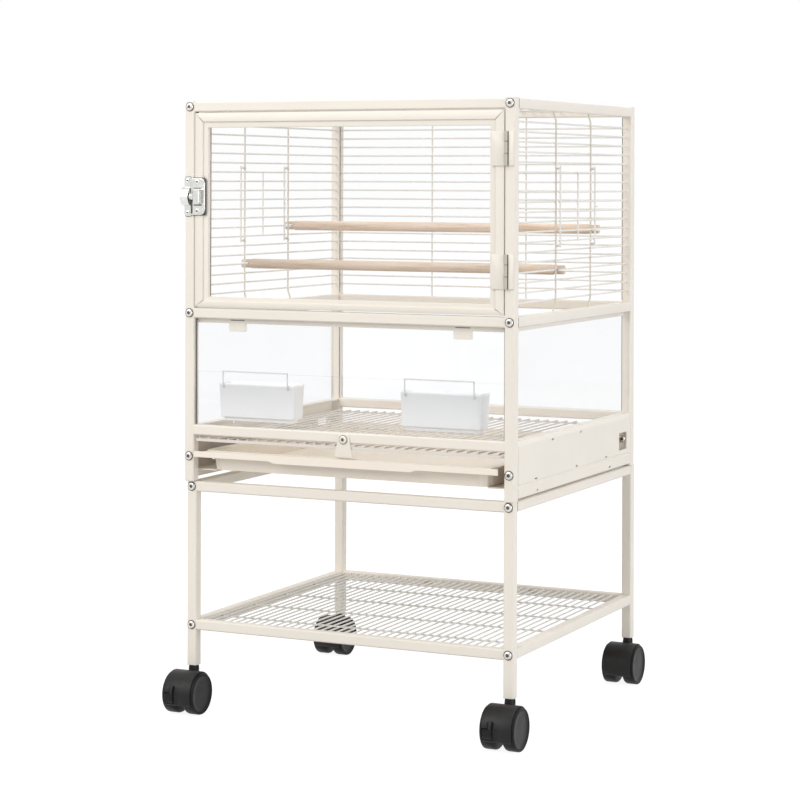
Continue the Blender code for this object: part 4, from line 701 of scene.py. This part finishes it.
def door_frame():
    """Four members, and the stepped lip that runs round inside them."""
    shape = Shape()
    for i, corner in enumerate(DOOR_CORNERS):
        door_member(shape, corner, DOOR_CORNERS[(i + 1) % 4])
    lip = []
    for share, shift, y in LIP_SECTION:
        wide = BAND + share * (LIP - BAND) + shift
        low = BAND_BOTTOM + share * (LIP_BOTTOM - BAND_BOTTOM) + shift
        lip.append([door_corner(c, wide, low if c[1] < 0 else wide, y) for c in DOOR_CORNERS])
    shape.loft(lip, closed=True)
    piece("door_members", shape, (cream,), node="door_frame", origin=(HINGE_X, HINGE_Y, 0.0))


def hinge(level, centre):
    """A leaf on the post with two knuckles and the pin, and one on the door with the third, with
    painted shade on the knuckles, the pin and a strip beside the barrel.
    """
    low, high = centre - HINGE_HALF, centre + HINGE_HALF
    cut_low = low + 2 * HINGE_HALF * 0.36
    cut_high = low + 2 * HINGE_HALF * 0.7
    x, line = HINGE_X, (HINGE_X, HINGE_Y)
    origin = (HINGE_X, HINGE_Y, centre)

    def knuckle(shape, z0, z1):
        ends = ((1.8, z0), (2.2, z0 + 0.4), (2.2, z1 - 0.4), (1.8, z1))
        # Look 1, the darker hinge paint: painted shade on the knuckles.
        shape.turned("Z", ends, line, 24, look=1)

    post = Shape()
    notch_low, notch_high = cut_low - KNUCKLE_GAP, cut_high + KNUCKLE_GAP
    outline = [
        (x + 9.8, low), (x + 9.8, high), (x + 1.0, high), (x + 1.0, notch_high),
        (x + 2.7, notch_high), (x + 2.7, notch_low), (x + 1.0, notch_low), (x + 1.0, low),
    ]
    post.plate(softened(outline, 0.5, 2), "Y", LEAF_BACK, LEAF_FACE, 0.3)
    knuckle(post, low, notch_low)
    knuckle(post, notch_high, high)
    # The pin in the gap shade: painted shade seen between the knuckles.
    post.turned("Z", ((1.0, low + 2), (1.0, high - 2)), line, 16, look=2)
    # A painted shadow strip beside the barrel.
    shadow = rectangle(x + 1.5, low + 0.3, x + 3.3, high - 0.3)
    post.plate(shadow, "Y", -1.4, -1.62, 0.1, look=2)
    name = f"{level}_hinge_post_leaf"
    piece(name + "_sheet", post, (cream, knuckle_shade_paint, gap_dark), node=name, origin=origin)

    door = Shape()
    tongue_low, tongue_high = cut_low + DOOR_KNUCKLE_GAP, cut_high - DOOR_KNUCKLE_GAP
    outline = [
        (x - 18.8, low), (x - 2.7, low), (x - 2.7, tongue_low), (x - 1.0, tongue_low),
        (x - 1.0, tongue_high), (x - 2.7, tongue_high), (x - 2.7, high), (x - 18.8, high),
    ]
    door.plate(softened(outline, 0.5, 2), "Y", LEAF_BACK, LEAF_FACE, 0.3)
    knuckle(door, tongue_low, tongue_high)
    name = f"{level}_hinge_door_leaf"
    piece(name + "_sheet", door, (cream, knuckle_shade_paint), node=name, origin=origin)


# Screws
SCREW_SIDES = 36
SHANK_RADIUS, SHANK_LENGTH = 1.9, 5.8
OUTLINE_RIM = 0.75
# A domed head: shares of its radius and of its height
DOME = ((1.0, 0.3), (0.96, 0.55), (0.86, 0.78), (0.72, 0.93), (0.55, 0.995), (0.46, 1.0))


def screw_head(shape, centre, face, radius=4.8, height=2.2, socket=1.95, shank=True):
    """A domed head towards the front, with a hexagonal socket whose floor, in look 1, is painted
    shade.

    One with a shank has a thin ring round the head too, also in look 1: a painted dark outline.
    """
    x, z = centre
    top = face - height

    def around(size, y, hexagon=False):
        points = []
        for i in range(SCREW_SIDES):
            t = math.tau * i / SCREW_SIDES
            r = size
            if hexagon:
                r = size / math.cos((t + math.pi / 6) % (math.pi / 3) - math.pi / 6)
            points.append((x + r * math.cos(t), y, z + r * math.sin(t)))
        return points

    if shank:
        rings = [around(SHANK_RADIUS, face + SHANK_LENGTH), around(SHANK_RADIUS, face)]
    else:
        rings = [around(0.2, face)]
    rings.append(around(radius, face))
    rings += [around(radius * share, face - height * depth) for share, depth in DOME]
    rings.append(around(socket + 0.12, top + 0.02, True))
    rings.append(around(socket, top + 0.16, True))
    shape.loft(rings + [around(socket, top + 1.0, True), around(0.05, top + 1.05)])
    floor = socket - 0.03
    # Painted shade on the socket's floor.
    shape.loft([around(floor, top + 0.99, True), around(floor, top + 0.62, True)], look=1)
    if shank:
        # A thin ring round the head, in look 1: a painted dark outline.
        outline_ring = radius + OUTLINE_RIM
        shape.loft([around(outline_ring, face + 0.1), around(outline_ring, face - 0.22)], look=1)


def screws():
    """The front screws of the cage and of the stand."""
    cage_levels = (("top", TOP_Z), ("middle", MIDDLE_Z), ("lower", HOUSING_SCREW_Z))
    stand_levels = (("top", STAND_TOP_Z), ("shelf", SHELF_Z))
    groups = (("cage", CAGE_X, -0.3, cage_levels), ("stand", STAND_X, 3.2, stand_levels))
    for side, sign in SIDES:
        for group, x, face, levels in groups:
            for level, z in levels:
                shape = Shape()
                screw_head(shape, (sign * x, z), face)
                name = f"{group}_screw_{side}_{level}"
                piece(name + "_head", shape, (screw_steel, painted_shade_steel), node=name)


def stop_tab():
    """A tab with a round top and rounded lower corners, and its painted screw."""
    pivot_z = 344.0
    corner_x, corner_z, corner = 9.5, pivot_z - 18.5, 2.5
    outline = arc(8.0, -12, 192, 20, (0.0, pivot_z))
    outline += arc(corner, 190, 270, 5, (-corner_x, corner_z))
    outline += arc(corner, 270, 350, 5, (corner_x, corner_z))
    shape = Shape()
    shape.plate(outline, "Y", -0.05, -1.55, 0.4)
    piece("stop_tab_plate", shape, (cream,), node="stop_tab", origin=(0.0, -0.8, pivot_z))
    shape = Shape()
    # Look 1, the gap shade, on the screw's socket and on a ring round its head: painted shade and a
    # painted dark outline.
    screw_head(shape, (0.0, pivot_z), -1.85)
    piece("stop_tab_screw_head", shape, (cream, gap_dark), node="stop_tab_screw")


def housing_brackets():
    """The tab behind each housing's window, with its screw, which show through the window."""
    tab_back, tab_face = 381.0, 379.5
    for name, side in SIDES:
        shape = Shape()
        outline = rounded(14.0, 30.0, 1.5, (side * 208.6, 314.5), 3)
        shape.plate(outline, "Y", tab_back, tab_face, 0.3)
        piece(name + "_housing_tab", shape, (cream,), body="cage")
        shape = Shape()
        screw_head(shape, (side * 211.2, 318.0), tab_face - 0.05, socket=1.7, shank=False)
        looks = (steel, painted_shade_steel)
        piece(name + "_housing_screw", shape, looks, body="cage")


# Painted shade: thin dark strips in gaps, whose edges are eased by very little
STRIP_EASE = 0.1
PANE_LOW, PANE_HIGH = 352.5, 482.0


def gap_strips():
    """Painted shade: dark strips beside the door and the panes, at the rails' ends and over the
    flange's tabs.
    """
    beside_door = (205.0, 4.0, 205.9, 9.0)
    beside_front_pane = (204.0, 4.3, 205.3, 5.7)
    beside_back = (205.3, 393.1, 205.75, 394.1)
    rail_ends = ((CAGE_X, 12.65, TOP_Z), (CAGE_X, 12.65, MIDDLE_Z), (STAND_X, 16.15, STAND_TOP_Z))
    shape = Shape()

    def upright(side, box, start, end):
        x0, y0, x1, y1 = box
        shape.plate(rectangle(side * x0, y0, side * x1, y1), "Z", start, end, STRIP_EASE)

    for side in SIGNS:
        upright(side, beside_door, 497.0, 734.4)
        # Painted shade over each of the flange's tabs.
        over_tab = rounded(19.0, 1.0, 0.45, (side * 149.7, 480.6), 3)
        shape.plate(over_tab, "Y", 9.6, 9.05, STRIP_EASE)
        for x, y, z in rail_ends:
            # Painted shade in the gap at each rail's end.
            rail_end_shade = rounded(12.5, 12.5, 1.3, (side * x, z), 3)
            shape.plate(rail_end_shade, "Y", y, y + 0.4, STRIP_EASE)
        upright(side, beside_front_pane, PANE_LOW, PANE_HIGH)
        upright(side, beside_back, PANE_LOW, PANE_HIGH)
        upright(side, beside_back, 497.0, 734.0)
    piece("door_gap_shade_strips", shape, (gap_dark,), body="cage")


def door_shade_lines():
    """Painted shade: dark lines at the edges of the clear sheet's seat, along the step beside the
    hinges, and in the mitres' depth.
    """
    shape = Shape()
    low_z, high_z = DOOR_LOW + LIP_BOTTOM, DOOR_HIGH - LIP
    seat_x, step_x = DOOR_HALF - LIP, DOOR_HALF - BAND
    for side in SIGNS:
        seat = rectangle(side * (seat_x + 0.1), 7.0, side * (seat_x - 0.55), 7.95)
        shape.plate(seat, "Z", low_z - 0.5, high_z + 0.5, STRIP_EASE)
    step = rectangle(step_x - 0.55, 1.7, step_x + 0.05, 2.1)
    shape.plate(step, "Z", DOOR_LOW + BAND_BOTTOM, DOOR_HIGH - BAND, STRIP_EASE)
    for corner in QUARTERS:
        reach = BAND_BOTTOM if corner[1] < 0 else BAND
        start = door_corner(corner, 0.6, 0.6, 0.0)
        end = door_corner(corner, BAND - 0.4, reach - 0.4, 0.0)
        across = (end - start).cross(Vector((0.0, 1.0, 0.0))).normalized() * 0.5
        points = (start + across, end + across, end - across, start - across)
        shape.plate([(point.x, point.z) for point in points], "Y", 1.4, 0.5, STRIP_EASE)
    piece("door_pane_shade_lines", shape, (gap_dark,), body="door")


def latch_screws():
    """The screws of the latch and its keeper, painted shadow outlines round the latch body and the
    keeper, and painted shade in the plate's slot openings.
    """
    looks = (steel, painted_shade_steel)
    plate_back, plate_face = -3.2, -3.42
    slot_shades = ((2.4, 24.0, 1.0, (-207.4, 622.0)), (12.0, 1.4, 0.6, (-199.0, 620.6)),
             (12.0, 1.0, 0.45, (-199.0, 641.2)))
    shape = Shape()
    # Painted shadow: a dark plate a little larger than the latch body, showing as an outline round
    # it.
    shape.plate(rounded(20.4, 46.4, 3.0, (-199.2, 631.0)), "Y", -0.02, -0.6, 0.2, look=1)
    # Painted shade in the latch plate's slot and gaps.
    for width, height, corner, centre in slot_shades:
        outline = rounded(width, height, corner, centre)
        shape.plate(outline, "Y", plate_back, plate_face, STRIP_EASE, look=1)
    for z in (649.0, 613.2):
        screw_head(shape, (-199.6, z), -3.3, 3.2, 1.1, 1.1, False)
    piece("latch_body_screws", shape, looks, body="door")
    shape = Shape()
    for z in (650.6, 611.5):
        screw_head(shape, (-214.2, z), -1.5, 2.6, 0.9, 0.9, False)
    # Painted shadow: a dark plate a little larger than the keeper, showing as an outline round it.
    shape.plate(rounded(8.8, 49.2, 1.5, (-214.0, 631.0)), "Y", -0.02, -0.5, 0.2, look=1)
    piece("latch_keeper_screws", shape, looks, body="cage")


# Inside: perches and cups
PERCH_RADIUS, PERCH_END_RADIUS, PERCH_SLOT = 6.2, 5.5, 3.4
CUP_Y, CUP_Z = 26.1, 357.0
CUP_WIDTH, CUP_DEPTH = 104.4, 30.0
# Up the outside, over the rim and down inside: height, how far in at the front and at the
# sides, and the corners' radius
CUP_SECTION = (
    (0.0, 6.0, 6.5, 2.4), (0.3, 5.3, 5.8, 3.0), (1.0, 5.0, 5.5, 3.2), (3.6, 5.0, 5.5, 3.2),
    (4.2, 4.6, 5.0, 3.2), (4.5, 4.0, 3.6, 3.2), (4.7, 3.4, 2.2, 3.2), (5.4, 2.9, 1.3, 3.4),
    (6.6, 2.7, 1.0, 3.4), (43.6, 0.35, 0.35, 3.4), (43.9, 0.0, 0.0, 3.6), (46.2, 0.0, 0.0, 3.6),
    (46.8, 0.25, 0.25, 3.4), (47.0, 0.9, 0.9, 3.0), (46.8, 1.55, 1.55, 2.6),
    (46.2, 1.8, 1.8, 2.4), (10.0, 4.4, 2.9, 2.4), (7.6, 5.0, 3.6, 2.2), (6.9, 6.2, 5.0, 2.0),
    (6.7, 8.0, 7.0, 1.8),
)
BAIL_X, BAIL_Z, BAIL_RADIUS, BAIL_BEND = 44.4, 399.0, 0.8, 1.1


def perch(name, y, z, look):
    """A round dowel whose ends are slotted to clip over a side wire, a little slimmer there."""
    shape = Shape()
    half = [
        (PERCH_RADIUS, 0.0), (PERCH_RADIUS, 206.6), (5.95, 207.6),
        (PERCH_END_RADIUS, 208.4), (PERCH_END_RADIUS, 209.6),
    ]
    shape.turned("X", [(r, -along) for r, along in reversed(half)] + half[1:], (y, z), 36)
    start = math.degrees(math.asin(PERCH_SLOT / 2 / PERCH_END_RADIUS))
    prong = arc(PERCH_END_RADIUS, start, 180.0 - start, 16)
    for side, up in QUARTERS:
        outline = [(y + a, z + up * b) for a, b in prong]
        shape.plate(outline, "X", side * 209.4, side * 221.0, 0.5)
    piece(name + "_dowel", shape, (look,), node=name, origin=(0.0, y, z))


def cup(name, x):
    """A tapered cup with rounded corners, a stepped foot and a rolled rim."""
    rings = []
    for height, front, side, corner in CUP_SECTION:
        outline = rounded(CUP_WIDTH - 2 * side, CUP_DEPTH - 2 * front, corner, (x, CUP_Y), 6)
        rings.append([(a, b, CUP_Z + height) for a, b in outline])
    shape = Shape()
    shape.loft(rings)
    piece(name + "_shell", shape, (white_plastic,), node=name, angle=50.0)


def bow(points, radius, steps):
    """A path with its inner corners rounded."""
    path = [Vector(points[0])]
    for before, here, after in zip(points, points[1:], points[2:]):
        here = Vector(here)
        start = here + (Vector(before) - here).normalized() * radius
        end = here + (Vector(after) - here).normalized() * radius
        for i in range(steps + 1):
            t = i / steps
            path.append(start * (1 - t) ** 2 + here * 2 * t * (1 - t) + end * t ** 2)
    return path + [Vector(points[-1])]


def hanger(name, x):
    """A coated wire bail: out of the cup's front wall, up, and across the guard pane's top."""
    shape = Shape()
    top_z, run_y = 418.55, 7.0
    corners = ((13.4, BAIL_Z), (9.4, BAIL_Z), (9.4, top_z), (run_y, top_z))
    points = []
    for side in SIGNS:
        leg = [(x + side * BAIL_X, y, z) for y, z in corners]
        points += leg if side < 0 else leg[::-1]
    shape.wire(bow(points, BAIL_BEND, 5), BAIL_RADIUS)
    for side in SIGNS:
        knob = ((1.5, 10.4), (1.7, 10.8), (1.7, 11.3))
        shape.turned("Y", knob, (x + side * BAIL_X, BAIL_Z), 16)
    piece(name + "_wire", shape, (bail_wire,), node=name)


# Casters: drawn about the stem's axis at floor height, with the axle behind it
TRAIL, AXLE_Z = 16.0, 25.0
COVER_EASE = 0.35
# Parts of the cover: X from and to, degrees from and to, steps in degrees, eases of the ends
BRAKED_COVER = (
    (-18.5, 18.5, 12, 156, 3, (COVER_EASE, 0.0)),
    (-18.5, -10.0, 156, 171, 3, (0.0, 0.0)),
    (-3.8, 18.5, 156, 171, 3, (0.0, 0.0)),
    (-18.5, -17.2, 171, 202, 3, (0.0, 0.0)),
    (1.5, 18.5, 171, 202, 3, (0.0, 0.0)),
    (-18.5, 18.5, 202, 206, 2, (0.0, COVER_EASE)),
)
PLAIN_COVER = ((-18.5, 18.5, 12, 206, 3, (COVER_EASE, COVER_EASE)),)
# Up the toothed collar: height, radius at the teeth and between them
COLLAR = (
    (38.0, 6.5, 6.5), (51.6, 6.5, 6.5), (51.8, 6.45, 5.3),
    (54.6, 6.3, 5.2), (55.7, 5.9, 5.0), (56.2, 5.2, 4.9),
)
COLLAR_SIDES, TOOTH_PITCH, TOOTH_WIDTH = 60, 12, 7
# Round the sections of a tyre and of its cap: radius and X
TYRE = (
    (3.2, 5.3), (21.6, 5.3), (23.4, 5.8), (24.5, 6.9), (25.0, 8.4), (25.0, 19.9), (24.6, 20.9),
    (23.8, 21.3), (22.9, 21.3), (22.6, 21.0), (22.4, 20.4), (22.3, 18.0), (3.2, 18.0),
)
WHEEL_CAP = (
    (22.25, 18.2), (22.2, 20.5), (22.0, 20.75), (21.6, 20.9), (21.0, 20.75), (20.2, 20.3),
    (15.0, 20.06), (6.0, 20.0), (0.02, 20.0),
)
WHEEL_SIDES = 72
RIB_DEPTH, RIB_PITCH = 0.42, 3.0  # the brake pedal's ribs, the pitch in degrees


def about_axle(x, r, t):
    return (x, -TRAIL + r * math.cos(t), AXLE_Z + r * math.sin(t))


def swept(shape, section, start, end, step, ease):
    """A section in x and radius, swept round the axle from one angle to another."""
    count = max(2, round(abs(end - start) / step))
    middle_x = (section[0][0] + section[-1][0]) / 2
    middle_r = sum(r for x, r in section) / len(section)
    rings = []
    for i in range(count + 1):
        t = math.radians(start + (end - start) * i / count)
        pull = ease[0] if i == 0 else ease[1] if i == count else 0.0
        points = []
        for x, r in section:
            nearer = r + clamped(middle_r - r, pull)
            points.append(about_axle(x + clamped(middle_x - x, pull), nearer, t))
        rings.append(points)
    shape.loft(rings)


def cover_section(low, high, near=25.6, far=26.9):
    """A curved sheet's section in x and radius, with its outer corners rounded."""
    section = [(low, near), (low, far - 0.7), (low + 0.2, far - 0.2), (low + 0.7, far)]
    section += [(high - 0.7, far), (high - 0.2, far - 0.2), (high, far - 0.7), (high, near)]
    return section


def hood(cover):
    """The cover over the wheels, the web between them, the toothed collar and the stem."""
    shape = Shape()
    for low, high, start, end, step, ease in cover:
        swept(shape, cover_section(low, high), start, end, step, ease)
    web = arc(26.3, 13, 205, 40, (-TRAIL, AXLE_Z))
    web += arc(13.0, 205, 373, 20, (-TRAIL, AXLE_Z))
    shape.plate(web, "X", -4.9, 4.9, 0.4)
    rings = []
    for z, tooth, gap in COLLAR:
        points = []
        for i in range(COLLAR_SIDES):
            t = math.tau * i / COLLAR_SIDES
            radius = tooth if i % TOOTH_PITCH < TOOTH_WIDTH else gap
            points.append((radius * math.cos(t), radius * math.sin(t), z))
        rings.append(points)
    shape.loft(rings)
    shape.turned("Z", ((3.7, 55.0), (3.7, 78.2), (3.2, 79.2), (1.9, 80.0)), (0.0, 0.0), 24, look=1)
    return shape


def wheels():
    """Twin wheels about the axle: tyres with rounded shoulders, dished caps, and the axle."""
    shape = Shape()
    axle = (-TRAIL, AXLE_Z)
    for side in SIGNS:
        shape.turned("X", [(r, side * x) for r, x in TYRE], axle, WHEEL_SIDES)
        shape.turned("X", [(r, side * x) for r, x in WHEEL_CAP], axle, WHEEL_SIDES, look=1)
    shape.turned("X", ((3.0, -7.0), (3.0, 7.0)), axle, 20, look=2)
    return shape


def brake():
    """A lever over the wheels: a smooth neck, and a pedal with ribs across it."""
    shape = Shape()
    near, far = 27.2, 29.0
    swept(shape, cover_section(-9.0, -4.8, near, far), 153, 174, 2.5, (0.5, 0.0))
    middle_x, middle_r = -10.25, 28.1
    start, ribs_start, end, count = 173.4, 174.0, 198.0, 48
    rings = []
    for i in range(count + 1):
        angle = start + (end - start) * i / count
        rib = 0.0
        if angle > ribs_start:
            rib = RIB_DEPTH * (1.0 - math.cos(math.tau * (angle - ribs_start) / RIB_PITCH))
        pull = 0.5 if i in (0, count) else 0.0
        points = []
        for x, r in cover_section(-16.0, -4.5, near, far):
            lowered = r - rib if r > near + 0.6 else r
            lowered += math.copysign(pull, middle_r - lowered)
            x += math.copysign(pull, middle_x - x)
            points.append(about_axle(x, lowered, math.radians(angle)))
        rings.append(points)
    shape.loft(rings)
    return shape


def casters():
    """Four casters. The front ones have a brake."""
    hoods = {"front": hood(BRAKED_COVER), "rear": hood(PLAIN_COVER)}
    pair, lever = wheels(), brake()
    for row, y in (("front", 9.85), ("rear", 407.15)):
        for side, sign in SIDES:
            stem = (sign * STAND_X, y, 0.0)
            axle = (sign * STAND_X, y - TRAIL, AXLE_Z)
            pieces = [("hood", hoods[row], (hood_black, steel), stem),
                      ("wheels", pair, (wheel_black, cap_black, steel), axle)]
            if row == "front":
                pieces.append(("brake", lever, (hood_black,), stem))
            for kind, source, looks, origin in pieces:
                shape = Shape()
                shape.moved(source, Matrix.Translation(stem))
                node = f"{row}_{side}_caster_{kind}"
                piece(node + "_moulding", shape, looks, node=node, origin=origin)


for name, side in SIDES:
    side_frame(f"{name}_side_frame", side)
    hatch(f"{name}_hatch", side)
back_grille()
top_grille()
floor_grate()
shelf()
door_frame()
hinge("lower", 546.8)
hinge("upper", 688.4)
screws()
stop_tab()
housing_brackets()
gap_strips()
door_shade_lines()
latch_screws()
perch("front_perch", 149.0, 544.45, dark_beech)
perch("rear_perch", 267.0, 591.25, beech)
for name, x in (("left_cup", -125.5), ("right_cup", 119.6)):
    cup(name, x)
    hanger(name + "_hanger", x)
casters()


# Floor, world, lamps and camera, in metres
FLOOR_HALF = 30.0
# The camera, fitted to the photo: angles in degrees
CAMERA_PLACE = (1.23897, -2.644356, 0.65106)
CAMERA_TURN, CAMERA_TILT, CAMERA_ROLL = 25.482, 90.0 - 0.193, 0.166


def white_rays(n):
    """One for what the camera sees, straight on, in gloss or through clear sheets."""
    path = n.add("ShaderNodeLightPath").outputs
    either = n.calculated("MAXIMUM", path["Is Camera Ray"], path["Is Glossy Ray"])
    return n.calculated("MAXIMUM", either, path["Is Transmission Ray"])


def make_floor():
    """White where it is seen, with the object's shadow kept, and pale grey as a light bounce."""
    material, n = material_nodes("studio_floor")
    greys = ((0.3, (0.24,) * 3), (0.7, (0.25,) * 3))
    tone = n.colours(n.noise(n.coordinates(), 14.0, 2.0), greys)
    seen = n.add("ShaderNodeAddShader")
    n.join(n.output_of("ShaderNodeBsdfDiffuse", Color=tone), seen.inputs[0])
    n.join(n.output_of("ShaderNodeEmission", Strength=0.9), seen.inputs[1])
    plain = n.output_of("ShaderNodeBsdfDiffuse", Color=(0.55, 0.55, 0.55))
    n.surface(n.mixed_shaders(white_rays(n), plain, seen.outputs["Shader"]))
    mesh = bpy.data.meshes.new("studio_floor")
    corners = rectangle(-FLOOR_HALF, -FLOOR_HALF, FLOOR_HALF, FLOOR_HALF)
    mesh.from_pydata([(x, y, 0) for x, y in corners], [], [(0, 1, 2, 3)])
    floor = bpy.data.objects.new("studio_floor", mesh)
    mesh.materials.append(material)
    bpy.context.scene.collection.objects.link(floor)


def make_world():
    """White where it is seen, and a dim cool room as light."""
    world = bpy.data.worlds.new("studio")
    world.use_nodes = True
    n = Nodes(world.node_tree, "ShaderNodeOutputWorld")
    white = n.output_of("ShaderNodeBackground", Color=WHITE)
    room = n.output_of("ShaderNodeBackground", Color=(0.97, 0.985, 1.0), Strength=0.5)
    n.surface(n.mixed_shaders(white_rays(n), room, white))
    bpy.context.scene.world = world


def lamp(name, place, aim, size, power, colour):
    light = bpy.data.lights.new(name, "AREA")
    light.shape = "RECTANGLE"
    light.size, light.size_y = size
    light.energy = power
    light.color = colour
    obj = bpy.data.objects.new(name, light)
    obj.location = place
    direction = Vector(aim) - Vector(place)
    obj.rotation_euler = direction.to_track_quat("-Z", "Y").to_euler()
    obj.visible_camera = False
    bpy.context.scene.collection.objects.link(obj)


def make_camera():
    data = bpy.data.cameras.new("photo_camera")
    data.sensor_width = 36.0
    data.lens = 104.37
    data.shift_x = 0.0029
    data.shift_y = -0.2644
    data.clip_end = 60.0
    obj = bpy.data.objects.new("photo_camera", data)
    turn = Matrix.Rotation(math.radians(CAMERA_TURN), 4, "Z")
    tilt = Matrix.Rotation(math.radians(CAMERA_TILT), 4, "X")
    roll = Matrix.Rotation(math.radians(CAMERA_ROLL), 4, "Z")
    obj.matrix_world = Matrix.Translation(CAMERA_PLACE) @ turn @ tilt @ roll
    bpy.context.scene.collection.objects.link(obj)
    bpy.context.scene.camera = obj


make_floor()
make_world()
lamp("key", (-1.2, -2.3, 2.1), (0.0, 0.0, 0.62), (2.2, 2.2), 53.5, (1.0, 0.985, 0.97))
lamp("fill", (2.8, -0.6, 0.8), (0.0, 0.0, 0.36), (2.2, 1.5), 33.0, (0.94, 0.965, 1.0))
lamp("top", (0.2, 0.3, 3.0), (0.0, 0.0, 0.5), (2.6, 2.6), 38.0, WHITE)
make_camera()
bpy.context.scene.view_settings.view_transform = "Standard"
